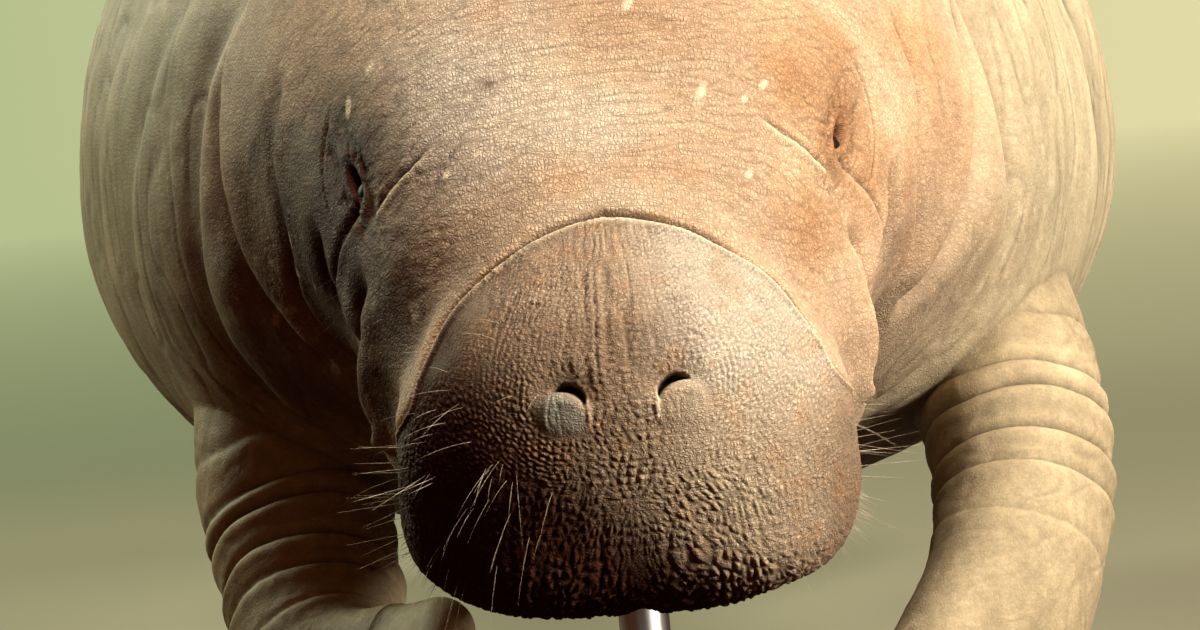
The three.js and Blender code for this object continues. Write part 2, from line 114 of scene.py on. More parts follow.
# Forms of the head
GROOVE = {"depth": 5, "width": 2.6, "deeper": 5, "deeper_turn": 80, "deeper_spread": 22, "fade": (98, 124)}
GROOVE_RIM = {"height": 2.0, "ahead": 5, "width": 3.4}
GROOVE_BROW = {"height": 1.6, "behind": 13, "width": 14}
FLAP = {"turn": 82, "spread": 13, "along": 180, "length": 20, "swell": 3}
CLEFT = {"depth": 5, "width": 7, "from": 16, "to": 80}
PADS = {"swell": 4, "across": 58, "below": 50, "wide": 46, "high": 40}
EYE = {"along": 258, "turn": 58.8, "long": 1.9, "pocket": 8, "pocket_edge": (2.2, 5.6)}
EYE_HOLLOW = {"depth": 8, "width": 16}
EYE_LID = {"height": 4, "radius": 8, "width": 4.5}
EYE_WRINKLES = {"rays": 0.9, "lids": 0.8, "start": (4, 9), "end": (16, 34)}
NOSTRIL = {"across": 31, "up": 50, "depth": 10}
PLUG = {"centre": (1.5, -2.6), "half": (13.5, 11.8), "square": 2.2}
LIP = {"centre": (-2, 4.8), "half": (9.8, 7.4), "square": 2.0}

# Folds of the neck and wrinkles of the face, each along a path of (turn in degrees, along)
STROKES = {
    "under the flap": {"depth": 10, "width": 6,
        "path": [(68, 222), (78, 222), (86, 212), (92, 203), (98, 194), (105, 178)]},
    "below the eye": {"depth": 3.4, "width": 2.6,
        "path": [(57, 243), (66, 246), (76, 254), (84, 252), (89, 236)]},
    "jowl": {"depth": 12, "width": 8,
        "path": [(78, 290), (85, 276), (89, 266), (91, 244), (93, 222), (96, 202), (103, 176)]},
    "behind the eye": {"depth": 1.6, "width": 1.6,
        "path": [(55, 306), (62, 298), (68, 284), (72, 268), (74, 256)]},
    "cheek": {"depth": 4, "width": 6,
        "path": [(60, 372), (68, 364), (77, 357), (89, 335), (101, 340), (112, 330)]},
    "throat": {"depth": 17, "width": 11,
        "path": [(66, 460), (76, 450), (86, 433), (93, 418), (98, 409), (104, 397), (110, 384), (117, 368),
                 (122, 350)]},
    "chin": {"depth": 8, "width": 12, "path": [(112, 300), (130, 336), (150, 360), (180, 372)]},
    "nape": {"depth": 9, "width": 12,
        "path": [(54, 456), (64, 472), (72, 482), (86, 486), (97, 494), (112, 502), (140, 512), (180, 516)]},
    "shoulder": {"depth": 4, "width": 14,
        "path": [(50, 520), (63, 556), (75, 588), (84, 610), (96, 628), (112, 640)]},
    "flank": {"depth": 2.4, "width": 18, "path": [(56, 640), (70, 690), (84, 720), (104, 742)]},
    "brow": {"depth": 2.2, "width": 1.7,
        "path": [(33, 225), (41, 223), (47, 224), (53, 225), (59, 231)]},
}
BROW = STROKES["brow"]
SOFTER_RIGHT = 0.5
STROKE_WANDER = 2
LUMP_LENGTHENING = 0.6
LUMPS = [  # along, turn in degrees, height, reach
    (452, 103, 6, 22),
    (410, 84, 3, 26),
    (300, 88, 3, 20),
    (300, 112, -11, 44),
    (250, 108, -13, 36),
    (208, 104, -9, 20),
]

# Texture of the muzzle: cells are (wide, high)
PEBBLE = {"cell": (3.9, 3.3), "depth": 1.05, "seed": 1, "soft": 0.8}
LUMP = {"cell": (5.8, 4.7), "depth": 1.1, "seed": 3, "soft": 0.85}
BEAD = {"cell": (3.9, 7.5), "depth": 0.8, "seed": 5, "soft": 0.8}
LARGE_BEAD = {"cell": (5.9, 8), "depth": 1.4, "seed": 7, "soft": 0.8, "loose": 0.9}
RIDGE = {"depth": 1.1, "spread": 34, "above": (58, 84)}
ARC_WRINKLES = {"depth": 0.38, "pitch": 3.0, "start": (17, 23), "end": (34, 58)}

# Jaw, flippers and nails
JAW_KEYS = ("along", "half", "rise", "drop")
JAW = dict(zip(JAW_KEYS, np.array([
    (70, 72, 44, 40),
    (104, 88, 44, 52),
    (142, 92, 44, 55),
    (185, 80, 30, 30),
], dtype=float).T))
JAW_START = 44
JAW_CENTRE = -74
JAW_CAP = 44
JAW_STEP = 2.5
JAW_AROUND = 120
JAW_ROUND = 0.85

LIMB_KEYS = ("width", "thick", "thin", "hint_x", "hint_y", "hint_z", "along")
LIMB = dict(zip(LIMB_KEYS, np.array([
    (176, 136, 0, 0.1, 1, -0.1, 0),
    (152, 126, 0, 0.1, 1, -0.2, 0.2),
    (148, 116, 0.05, 0.3, 0.85, -0.4, 0.4),
    (150, 86, 0.2, 0.45, 0.6, -0.65, 0.6),
    (158, 54, 0.35, 0.5, 0.35, -0.8, 0.8),
    (126, 30, 0.4, 0.5, 0.3, -0.8, 1),
], dtype=float).T))
FLIPPERS = {
    "left": (1, [(166, 676, 500), (254, 622, 438), (259, 512, 345), (229, 425, 268), (170, 352, 196),
                 (84, 290, 136)]),
    "right": (-1, [(158, 676, 486), (230, 622, 417), (217, 520, 320), (204, 425, 258), (164, 335, 262),
                   (112, 262, 318)]),
}
LIMB_TIP = {"start": 0.83, "round": 2.3}
LIMB_LENGTH = 530
# Skin rolls, as (share of the way to the tip, depth), and how far they lean over the limb
ROLLS = [(0.25, 1.4), (0.303, 3.0), (0.33, 3.6), (0.385, 4.0), (0.43, 2.4), (0.50, 1.0)]
ROLL_LEAN = 0.03
ROLL_TURN = 10
FINGERS = {"depth": 1.4, "count": 4.5, "start": (0.55, 0.7), "end": (0.85, 0.95)}
# Nails, as (share of the way to the tip, share across the hand)
NAILS = [(0.93, -0.62), (0.965, -0.28), (0.972, 0.1)]
NAIL = {"length": 23, "width": 15, "thick": 8}

# How far the shoulder's skin runs smoothly into the body
SHOULDER_BLEND = 60
SHOULDER_LIFT = 9
SEAM = {"reach": 12, "rounds": 12, "pull": 0.5}
LIMB_REACH = 40
LIMB_EDGE = 8
LIMB_ROWS, LIMB_AROUND = 400, 200


# Small helpers


def lerp(a, b, t):
    return a + (b - a) * t


def smoothstep(x, low, high):
    t = np.clip((x - low) / (high - low), 0, 1)
    return t * t * (3 - 2 * t)


def fall(x, low, high):
    return 1 - smoothstep(x, low, high)


def bump(x, width):
    return np.exp(-((x / width) ** 2))


def stacked(*values):
    return np.stack(np.broadcast_arrays(*values), axis=-1)


def power(x, exponent):
    return np.sign(x) * np.abs(x) ** exponent


def rounded(x, length, blunt):
    """The share of full size at a distance from a rounded end."""
    t = np.clip(x / length, 0, 1)
    return (1 - (1 - t) ** blunt) ** (1 / blunt)


def unit(vectors):
    return vectors / np.maximum(np.linalg.norm(vectors, axis=-1, keepdims=True), 1e-9)


def column(table, key, value, first="along"):
    """A column of a table, read at any value of its first column on a smooth curve."""
    x, y = table[first], table[key]
    slope = np.empty_like(y)
    slope[1:-1] = (y[2:] - y[:-2]) / (x[2:] - x[:-2])
    slope[0] = (y[1] - y[0]) / (x[1] - x[0])
    slope[-1] = (y[-1] - y[-2]) / (x[-1] - x[-2])
    i = np.clip(np.searchsorted(x, value, side="right") - 1, 0, len(x) - 2)
    span = x[i + 1] - x[i]
    t = np.clip((value - x[i]) / span, 0, 1)
    return (
        (2 * t**3 - 3 * t**2 + 1) * y[i]
        + (t**3 - 2 * t**2 + t) * span * slope[i]
        + (3 * t**2 - 2 * t**3) * y[i + 1]
        + (t**3 - t**2) * span * slope[i + 1]
    )


LATTICE_SIZE = 64
LAST_CELL = LATTICE_SIZE - 1
LATTICE = np.random.default_rng(5).uniform(-1, 1, (LATTICE_SIZE,) * 3).astype(np.float32)
LATTICE_ROW = LATTICE.ravel()
SEED_SHIFT = 7.31


def noise(points, size, seed=0):
    """Smooth random values between -1 and 1 that change over about one size."""
    q = points / np.asarray(size, float) + SEED_SHIFT * (seed + 1)
    cell = np.floor(q)
    f = (q - cell).astype(np.float32)
    f = f * f * (3 - 2 * f)
    low = cell.astype(np.int32) & LAST_CELL
    high = (low + 1) & LAST_CELL
    total = np.zeros(points.shape[:-1], np.float32)
    for i, x in ((low[..., 0], 1 - f[..., 0]), (high[..., 0], f[..., 0])):
        for j, y in ((low[..., 1], 1 - f[..., 1]), (high[..., 1], f[..., 1])):
            row = (i * LATTICE_SIZE + j) * LATTICE_SIZE
            total += x * y * lerp(LATTICE_ROW[row + low[..., 2]], LATTICE_ROW[row + high[..., 2]], f[..., 2])
    return total


def mixed_noise(points, layers):
    """The sum of several (size, share, seed) layers of noise."""
    return sum(share * noise(points, size, seed) for size, share, seed in layers)


def creases(points, size, seed=0, sharp=3.5):
    """A net of thin lines, 1 on a line and 0 between them."""
    return np.clip(1 - sharp * np.abs(noise(points, size, seed)), 0, 1)


def cells(u, v, seed, loose, soft):
    """An uneven net of cells of about one unit: 0 on the lines between them and 1 inside."""
    near, next_near = np.full(u.shape, 9.0), np.full(u.shape, 9.0)
    for i, j in itertools.product((-1, 0, 1), repeat=2):
        a, b = np.floor(u).astype(int) + i, np.floor(v).astype(int) + j
        shift = LATTICE[a % LATTICE_SIZE, b % LATTICE_SIZE, seed : seed + 2]
        far = np.hypot(a + 0.5 + loose / 2 * shift[..., 0] - u, b + 0.5 + loose / 2 * shift[..., 1] - v)
        next_near = np.minimum(next_near, np.maximum(near, far))
        near = np.minimum(near, far)
    return smoothstep(next_near - near, 0, soft)


def cell_relief(x, y, form, middle=0.5):
    """A net of swollen cells, level on average, from a table of its measures."""
    wide, high = form["cell"]
    net = cells(x / wide, y / high, form["seed"], form.get("loose", 0.8), form["soft"])
    return form["depth"] * (net - middle)


# The spine and the plain body


def spine_pitch(along):
    return np.radians(HEAD_PITCH * fall(along, *NECK_BEND) - TAIL_DROOP * smoothstep(along, *TAIL_BEND))


SPINE_STEP = 5.0
SPINE_ALONG = np.arange(0, LENGTH + 1, SPINE_STEP)
SPINE_STEP_PITCH = spine_pitch(SPINE_ALONG[:-1] + SPINE_STEP / 2)
SPINE_Y = -STAND_CENTRE + np.concatenate([[0], np.cumsum(SPINE_STEP * np.cos(SPINE_STEP_PITCH))])
SPINE_Z = MUZZLE_HEIGHT + np.concatenate([[0], np.cumsum(SPINE_STEP * np.sin(SPINE_STEP_PITCH))])


def off_spine(along, sideways, upward):
    """Points from their sideways and upward distance in the plane square to the spine."""
    pitch = spine_pitch(along)
    y = np.interp(along, SPINE_ALONG, SPINE_Y) - upward * np.sin(pitch)
    z = np.interp(along, SPINE_ALONG, SPINE_Z) + upward * np.cos(pitch)
    return stacked(sideways, y, z)


def side_degrees(turn):
    return np.degrees(np.abs(np.arctan2(np.sin(turn), np.cos(turn))))


def crease_pull(along, turn):
    """How far the crease's sweep moves the skin."""
    sweep = column(CREASE_LINE, "along", side_degrees(turn), "turn") - CREASE
    return sweep * np.where(along < CREASE, along / CREASE, fall(along, CREASE, CREASE_PULL))


def section(place, turn):
    """Sideways and upward distance from the spine to the plain body, without folds."""
    at = np.maximum(place, STATIONS["along"][0])
    sine, cosine = np.sin(turn), np.cos(turn)
    square = np.where(cosine >= 0, column(STATIONS, "top", at), column(STATIONS, "low", at))
    height = np.where(cosine >= 0, column(STATIONS, "rise", at), column(STATIONS, "drop", at))
    front = lerp(MUZZLE_CAP["below"], MUZZLE_CAP["above"], (1 + cosine) / 2)
    nose = rounded(place, front, MUZZLE_CAP["blunt"])
    tail = rounded(LENGTH - place, TAIL_CAP["outline"], TAIL_CAP["round"])
    rim = rounded(LENGTH - place, TAIL_CAP["rim"], 2)
    sideways = column(STATIONS, "half", at) * power(sine, 2 / square) * nose * tail
    upward = height * power(cosine, 2 / square) * nose * rim
    return sideways * (1 - column(STATIONS, "pear", at) * upward / height), upward


def plain_point(along, turn):
    place = along + crease_pull(along, turn)
    return off_spine(place, *section(place, turn))


EVEN_RING = 110.0


def even_turns(count):
    """Turns that are evenly spaced on a ring of the muzzle's skin."""
    turn = np.linspace(0, 2 * np.pi, 8001)
    ring = plain_point(np.full_like(turn, EVEN_RING), turn)
    arc = np.concatenate([[0], np.cumsum(np.linalg.norm(np.diff(ring, axis=0), axis=1))])
    return np.interp(np.arange(count) / count * arc[-1], arc, turn)


# Distance on the skin from the muzzle's foremost point, for rows of places along and a column for each degree
ARC_ROWS = 500
ARC_EASE = 2.2
ARC_ALONG = MUZZLE_END * np.linspace(0, 1, ARC_ROWS) ** ARC_EASE
ARC_TURN = np.radians(np.arange(181.0))
ARC_STEPS = np.linalg.norm(np.diff(plain_point(ARC_ALONG[:, None], ARC_TURN[None]), axis=0), axis=2)
ARC = np.concatenate([np.zeros((1, len(ARC_TURN))), np.cumsum(ARC_STEPS, axis=0)])
JUST_LESS = 0.001


def front_distance(along, degrees):
    """Distance on the skin from the muzzle's foremost point."""
    row = np.clip(along / MUZZLE_END, 0, 1) ** (1 / ARC_EASE) * (ARC_ROWS - 1)
    row = np.clip(row, 0, ARC_ROWS - 1 - JUST_LESS)
    line = np.clip(degrees, 0, 180 - JUST_LESS)
    i, j = row.astype(int), line.astype(int)
    s, t = row - i, line - j
    return lerp(lerp(ARC[i, j], ARC[i + 1, j], s), lerp(ARC[i, j + 1], ARC[i + 1, j + 1], s), t)


def muzzle_rows(turn):
    """Distances along the spine that are evenly spaced on the muzzle's skin, one column for each turn."""
    share = (np.arange(MUZZLE_ROWS) + 0.5) / MUZZLE_ROWS
    columns = []
    for degrees in side_degrees(turn):
        low = min(int(degrees), len(ARC_TURN) - 2)
        arc = lerp(ARC[:, low], ARC[:, low + 1], degrees - low)
        columns.append(np.interp(share * arc[-1], arc, ARC_ALONG))
    return np.stack(columns, axis=1)


SPINE_ROUNDS, SPINE_EASE = 12, 0.7
PULL_ROUNDS = 16


def body_coordinates(points):
    """(along, turn, sideways, upward) of points on or near the body."""
    place = np.clip(points[:, 1] + STAND_CENTRE, 0, LENGTH)
    for _ in range(SPINE_ROUNDS):
        pitch = spine_pitch(place)
        dy = points[:, 1] - np.interp(place, SPINE_ALONG, SPINE_Y)
        dz = points[:, 2] - np.interp(place, SPINE_ALONG, SPINE_Z)
        place = np.clip(place + SPINE_EASE * (dy * np.cos(pitch) + dz * np.sin(pitch)), 0, LENGTH)
    upward = dz * np.cos(pitch) - dy * np.sin(pitch)
    at = np.maximum(place, STATIONS["along"][0])
    above = upward >= 0
    height = np.where(above, column(STATIONS, "rise", at), column(STATIONS, "drop", at))
    square = np.where(above, column(STATIONS, "top", at), column(STATIONS, "low", at))
    sine = power(points[:, 0] / column(STATIONS, "half", at), square / 2)
    turn = np.arctan2(sine, power(upward / height, square / 2))
    along = place
    for _ in range(PULL_ROUNDS):
        along = place - crease_pull(along, turn)
    return along, turn, points[:, 0], upward


# Relief of the skin: each function returns how far it stands out


class Place:
    """Where a set of skin points lies, in all the coordinates that the relief and the colours are written in.

    "eye" is the distance from the nearer eye's middle. "disc" is the muzzle's skin laid out flat, with its
    foremost point in the middle, disc_x to the animal's left and disc_y upwards.
    """

    def __init__(self, along, turn, point, across, up):
        self.along = along
        self.degrees = side_degrees(turn)
        self.side = np.radians(self.degrees)
        self.left = np.where(np.sin(turn) >= 0, 1, -1)
        self.point = point
        self.across = np.abs(across)
        self.up = up
        self.half = column(STATIONS, "half", np.maximum(along, STATIONS["along"][0]))
        self.muzzle = fall(along, CREASE - 6, CREASE - 1)
        self.eye_back = along - EYE["along"]
        self.eye_down = self.half * np.radians(self.degrees - EYE["turn"])
        self.eye = np.hypot(self.eye_back / EYE["long"], self.eye_down)
        front = front_distance(along, self.degrees)
        share = front / np.maximum(np.hypot(across, up), 1e-6)
        self.disc_x = share * self.across * self.left
        self.disc_y = share * up
        self.disc = stacked(self.disc_x, self.disc_y, 0.0)

    def part(self, mask):
        """The same place for some of its points only."""
        smaller = copy.copy(self)
        for key, value in vars(self).items():
            setattr(smaller, key, value[mask])
        return smaller


def crease_relief(p):
    behind = p.along - CREASE
    at_flap = bump(p.degrees - GROOVE["deeper_turn"], GROOVE["deeper_spread"])
    out = -(GROOVE["depth"] + GROOVE["deeper"] * at_flap) * bump(behind, GROOVE["width"])
    out += GROOVE_RIM["height"] * bump(behind + GROOVE_RIM["ahead"], GROOVE_RIM["width"])
    out += GROOVE_BROW["height"] * bump(behind - GROOVE_BROW["behind"], GROOVE_BROW["width"])
    flap = FLAP["swell"] * bump(p.degrees - FLAP["turn"], FLAP["spread"])
    flap *= bump(p.along - FLAP["along"], FLAP["length"])
    return out * fall(p.degrees, *GROOVE["fade"]) + flap


def pad_relief(p):
    aside = (np.abs(p.disc_x) - PADS["across"]) / PADS["wide"]
    lower = (p.disc_y + PADS["below"]) / PADS["high"]
    swell = PADS["swell"] * p.muzzle * bump(np.hypot(aside, lower), 1)
    below = smoothstep(p.degrees, 110, 150) * smoothstep(p.along, CLEFT["from"], 2 * CLEFT["from"])
    below *= fall(p.along, CLEFT["to"] * 0.6, CLEFT["to"])
    return swell - CLEFT["depth"] * below * bump(p.across, CLEFT["width"])


def smooth_path(path):
    """Many points along a smooth curve through the (turn, along) points of a path."""
    turn, along = np.array(path, dtype=float).T
    table = {"step": np.arange(len(path), dtype=float), "turn": turn, "along": along}
    step = np.linspace(0, len(path) - 1, 5 * len(path))
    return np.radians(column(table, "turn", step, "step")), column(table, "along", step, "step")


def stroke_distance(stroke, side, along, half):
    """Distance behind a path (negative before it), and the share of the path passed."""
    turns, alongs = smooth_path(stroke["path"])
    best = np.full(side.shape, 1e9)
    signed, passed = best.copy(), np.zeros(side.shape)
    for k in range(len(turns) - 1):
        dx, dy = half * (turns[k + 1] - turns[k]), alongs[k + 1] - alongs[k]
        qx, qy = half * (side - turns[k]), along - alongs[k]
        t = np.clip((qx * dx + qy * dy) / (dx * dx + dy * dy), 0, 1)
        far = np.hypot(qx - t * dx, qy - t * dy)
        nearer = far < best
        best = np.where(nearer, far, best)
        signed = np.where(nearer, far * np.where(dx * qy - dy * qx >= 0, 1, -1), signed)
        passed = np.where(nearer, (k + t) / (len(turns) - 1), passed)
    return signed, passed


def stroke_relief(p):
    out = np.zeros_like(p.along)
    along = p.along + STROKE_WANDER * noise(p.point, 60, 3)
    for stroke in STROKES.values():
        near = near_stroke(p, stroke)
        behind, passed = stroke_distance(stroke, p.side[near], along[near], p.half[near])
        ends = smoothstep(passed, -0.02, 0.22) * fade_end(stroke, passed)
        out[near] += stroke_profile(stroke, behind) * ends
    right_flank = smoothstep(-p.point[..., 0], -60, 120) * smoothstep(p.along, 300, 420)
    out *= 1 - SOFTER_RIGHT * right_flank
    for along, turn, height, reach in LUMPS:
        down = LUMP_LENGTHENING * p.half * np.radians(p.degrees - turn)
        out += height * bump(np.hypot(p.along - along, down), reach)
    return out


def near_stroke(p, stroke):
    turns, alongs = zip(*stroke["path"])
    near = (p.along > min(alongs) - 50) & (p.along < max(alongs) + 60)
    return near & (p.degrees > min(turns) - 14) & (p.degrees < max(turns) + 14)


def fade_end(stroke, passed):
    """Folds that meet at the mouth's corner or in the middle of the throat keep their depth there."""
    last_turn, last_along = stroke["path"][-1]
    return 1.0 if last_turn == 180 or last_along < 200 else fall(passed, 0.8, 1.0)


def stroke_profile(stroke, behind):
    """Steep in front of the fold's bottom and easy behind it, with a soft swell before it."""
    width = stroke["width"]
    valley = bump(behind, np.where(behind > 0, 1.6 * width, 0.75 * width))
    return stroke["depth"] * (0.3 * bump(behind + 1.9 * width, 1.5 * width) - valley)


def eye_relief(p):
    out = -EYE_HOLLOW["depth"] * bump(p.eye, EYE_HOLLOW["width"])
    out += EYE_LID["height"] * bump(p.eye - EYE_LID["radius"], EYE_LID["width"])
    out -= EYE["pocket"] * fall(p.eye, *EYE["pocket_edge"])
    angle = np.arctan2(p.eye_back, p.eye_down)
    cosine, sine = np.cos(angle), np.sin(angle)
    wrinkles = EYE_WRINKLES["rays"] * creases(stacked(cosine, sine, p.eye / 60), 0.34, 8, 4)
    wrinkles += EYE_WRINKLES["lids"] * creases(stacked(cosine, sine, p.eye / 5), 0.8, 9, 4)
    return out - wrinkles * smoothstep(p.eye, *EYE_WRINKLES["start"]) * fall(p.eye, *EYE_WRINKLES["end"])


def nostril_parts(p):
    """How far a point is inside the nostril's plug and its lip, each 1 on the outline, and the offsets."""
    out = p.across - NOSTRIL["across"]
    up = p.up - NOSTRIL["up"]
    away = 10 * (1 - p.muzzle)
    return nostril_outline(out, up, PLUG) + away, nostril_outline(out, up, LIP) + away, out, up


def nostril_opening(plug, lip):
    """1 in the crescent between the plug's top and the lip above it."""
    return fall(lip, 0.8, 1.08) * smoothstep(plug, 0.88, 1.06)


def nostril_outline(out, up, form):
    """Share of the way from a form's centre to its edge, a rounded rectangle where its square is over 2."""
    x = np.abs((out - form["centre"][0]) / form["half"][0])
    y = np.abs((up - form["centre"][1]) / form["half"][1])
    return (x ** form["square"] + y ** form["square"]) ** (1 / form["square"])


def nostril_relief(p):
    """A crescent opening above a plug with a raised inner rim, in a shallow hollow with fine rays."""
    plug, lip, out, up = nostril_parts(p)
    inside = fall(plug, 0.6, 1.15) * smoothstep(up, -16, -6)
    opening = NOSTRIL["depth"] * nostril_opening(plug, lip) * (1 - 0.3 * smoothstep(out, -2, 10))
    swell = inside * (1.6 - 1.8 * smoothstep(up, 3, 10))
    rim = 1.3 * bump(plug - 1.08, 0.11) * smoothstep(-out, 3, 10) * smoothstep(up, -14, -2)
    hollow = 3.2 * fall(lip, 0.95, 2.3) * smoothstep(up, -2, 10) * (1 - inside)
    rays = creases(stacked(4 * np.arctan2(up - 2, out), lip / 3, 0.0), 0.5, 61, 3)
    rays *= 0.8 * bump(lip - 1.8, 0.5) * smoothstep(up, 8, 14)
    lines = 0.5 * inside * creases(stacked(out, up / 6, p.left), 1.8, 71, 3)
    return swell + rim - opening - hollow - rays - lines


def muzzle_texture(p):
    plug, lip, out, up = nostril_parts(p)
    calm = smoothstep(np.minimum(plug, lip), 0.95, 1.2)
    rope = rope_share(p)
    texture = pebbles(p, rope) + nostril_arcs(p, out, up) + ropes(p, rope)
    return p.muzzle * (calm * texture + 1.6 * noise(p.disc, 36, 79))


def pebbles(p, rope):
    """Small pebbles, larger lumps between the nostrils and upright ridges below the crease's middle."""
    x = p.disc_x + 2.2 * noise(p.disc, 13, 72)
    y = p.disc_y + 2.2 * noise(p.disc, 13, 74) - 0.0016 * p.disc_x**2
    between = bump(p.disc_x, 22) * smoothstep(p.disc_y, -20, 15) * fall(p.disc_y, 96, 118)
    small = cell_relief(x, y, PEBBLE) * (0.8 + 0.6 * noise(p.disc, 22, 76))
    large = cell_relief(x, y, LUMP, 0.45) * (0.9 + 0.5 * noise(p.disc, 14, 77))
    ridges = RIDGE["depth"] * creases(stacked(x, y / 7, 0.0), 5.5, 85, 3) * bump(p.disc_x, RIDGE["spread"])
    out = small * (1 - 0.8 * rope) * (1 - 0.6 * between) + large * between
    return out - ridges * smoothstep(p.disc_y, *RIDGE["above"])


def nostril_arcs(p, out, up):
    """Fine wrinkles in rings round the outer side of each nostril."""
    ring = np.hypot(out, 1.1 * (up - 4)) + 1.6 * noise(p.disc, 15, 78)
    arcs = ARC_WRINKLES["depth"] * np.sin(2 * np.pi * ring / ARC_WRINKLES["pitch"])
    arcs *= smoothstep(ring, *ARC_WRINKLES["start"]) * fall(ring, *ARC_WRINKLES["end"])
    return arcs * smoothstep(out, -6, 8) * np.clip(0.5 + noise(p.disc, 11, 80), 0, 1)


def rope_share(p):
    """1 on the lower pads, where the skin hangs in beaded ropes."""
    low = smoothstep(-p.disc_y, -40, 0) * fall(-p.disc_y, 112, 134)
    low *= 0.15 + 0.85 * smoothstep(np.hypot(p.disc_x, p.disc_y), 5, 24)
    return low * (1 - 0.4 * bump(p.disc_x, 8)) * (1 - 0.6 * smoothstep(np.abs(p.disc_x), 66, 100))


def ropes(p, share):
    """Uneven ropes of long beads, which get wider on their way down."""
    across = np.abs(p.disc_x) + 0.2 * p.disc_y + 6 * noise(p.disc, 30, 81) + 2.4 * noise(p.disc, 10, 82)
    down = p.disc_y + 3 * noise(p.disc, 12, 83)
    lower = smoothstep(-p.disc_y, 18, 62)
    beads = lerp(cell_relief(across, down, BEAD), cell_relief(across, down, LARGE_BEAD), lower)
    furrows = lerp(0.5, 0.9, lower) * creases(stacked(across, down / 9, 0.0), 5.2, 86, 2.4)
    return share * (1 + 0.5 * noise(p.disc, 19, 84)) * (beads - furrows)


def hide_texture(p):
    """Fine wrinkles on the head, cross lines and long stripes on the trunk, and a soft unevenness."""
    brow = smoothstep(p.along, CREASE + 8, 170) * fall(p.along, 340, 460)
    rows = 0.55 * creases(p.point, (38, 6.5, 6.5), 20, 3) * brow * (1 - 0.7 * smoothstep(p.degrees, 50, 75))
    fine = fall(p.along, 420, 800) * (rows + 0.28 * creases(p.point, (9, 7, 9), 21))
    medium = 0.8 * creases(p.point, (34, 24, 60), 23, 4.5) * smoothstep(p.along, 260, 520)
    stripes = 0.7 * creases(stacked(p.along, p.degrees * 2.2, 0.0), (60, 330, 1), 24, 4)
    stripes *= smoothstep(p.degrees, 25, 60) * smoothstep(p.along, 480, 640) * fall(p.along, 1900, 2300)
    swell = 2.6 * noise(p.point, 95, 25) * smoothstep(p.along, 150, 300) + 0.6 * noise(p.point, 24, 26)
    calm = 0.25 + 0.75 * smoothstep(p.eye, 8, 26)
    return (1 - p.muzzle) * calm * (swell - fine - medium - stripes)


BODY_RELIEFS = (crease_relief, pad_relief, stroke_relief, eye_relief, hide_texture)
MUZZLE_RELIEFS = (nostril_relief, muzzle_texture)
TURN_STEP = 0.006


def relief(p):
    out = sum(form(p) for form in BODY_RELIEFS)
    near = p.muzzle > 0
    out[near] += sum(form(p.part(near)) for form in MUZZLE_RELIEFS)
    return out


def skin_surface(along, turn):
    """Points of the finished skin and the outward normals of the plain body there."""
    spine_place = along + crease_pull(along, turn)
    across, up = section(spine_place, turn)
    point = off_spine(spine_place, across, up)
    step = np.minimum(along * 0.5, 1.0)
    ahead = plain_point(along + np.minimum(step, LENGTH - along), turn) - plain_point(along - step, turn)
    beside = plain_point(along, turn + TURN_STEP) - plain_point(along, turn - TURN_STEP)
    normal = unit(np.cross(beside, ahead))
    place = Place(along, turn, point, across, up)
    ends = rounded(LENGTH - along, TAIL_CAP["rim"], 2)
    ends *= smoothstep(np.hypot(place.disc_x, place.disc_y), 0, 2)
    return point + normal * (relief(place) * ends)[..., None], normal


# Mesh building


def grid_mesh(name, rings, first, last):
    """A closed mesh over rings of points (rows, columns, 3), ended at each end by one point."""
    rows, around = rings.shape[:2]
    points = np.concatenate([[first], rings.reshape(-1, 3), [last]]) * MM
    index = 1 + np.arange(rows * around).reshape(rows, around)
    beside = np.roll(index, -1, axis=1)
    quads = np.stack([index[:-1], beside[:-1], beside[1:], index[1:]], axis=-1).reshape(-1, 4)
    front = np.stack([beside[0], index[0], np.zeros(around, int)], axis=-1)
    back = np.stack([index[-1], beside[-1], np.full(around, rows * around + 1)], axis=-1)
    return mesh_object(name, points, [quads, np.concatenate([front, back])])


def mesh_object(name, points, face_groups):
    """An object from points in metres and arrays of faces with the same number of corners."""
    corners = np.concatenate([group.reshape(-1) for group in face_groups])
    sizes = np.concatenate([np.full(len(group), group.shape[1]) for group in face_groups])
    mesh = bpy.data.meshes.new(name)
    mesh.vertices.add(len(points))
    mesh.vertices.foreach_set("co", points.astype(np.float32).ravel())
    mesh.loops.add(len(corners))
    mesh.loops.foreach_set("vertex_index", corners.astype(np.int32))
    mesh.polygons.add(len(sizes))
    mesh.polygons.foreach_set("loop_start", np.concatenate([[0], np.cumsum(sizes)[:-1]]).astype(np.int32))
    mesh.polygons.foreach_set("use_smooth", np.ones(len(sizes), bool))
    mesh.update(calc_edges=True)
    mesh.validate()
    made = bpy.data.objects.new(name, mesh)
    bpy.context.collection.objects.link(made)
    return made


def mesh_points(obj):
    points = np.empty(len(obj.data.vertices) * 3, np.float32)
    obj.data.vertices.foreach_get("co", points)
    return points.reshape(-1, 3).astype(float) / MM


def set_points(obj, points):
    obj.data.vertices.foreach_set("co", (points * MM).astype(np.float32).ravel())
    obj.data.update()


def drop_object(obj):
    mesh = obj.data
    bpy.data.objects.remove(obj)
    bpy.data.meshes.remove(mesh)


def trunk_object():
    turn = even_turns(SKIN_AROUND)
    front = muzzle_rows(turn)
    back = np.concatenate([np.arange(low, high, step) for low, high, step in SKIN_ROWS])
    along = np.concatenate([front, np.repeat(back[:, None], SKIN_AROUND, axis=1)])
    rings, _ = skin_surface(along, np.broadcast_to(turn, along.shape))
    tip = off_spine(np.array(float(LENGTH)), 0.0, 0.0)
    trunk = grid_mesh("trunk", rings, off_spine(np.array(0.0), 0.0, 0.0), tip)
    keep_coordinates(trunk, along, turn)
    return trunk


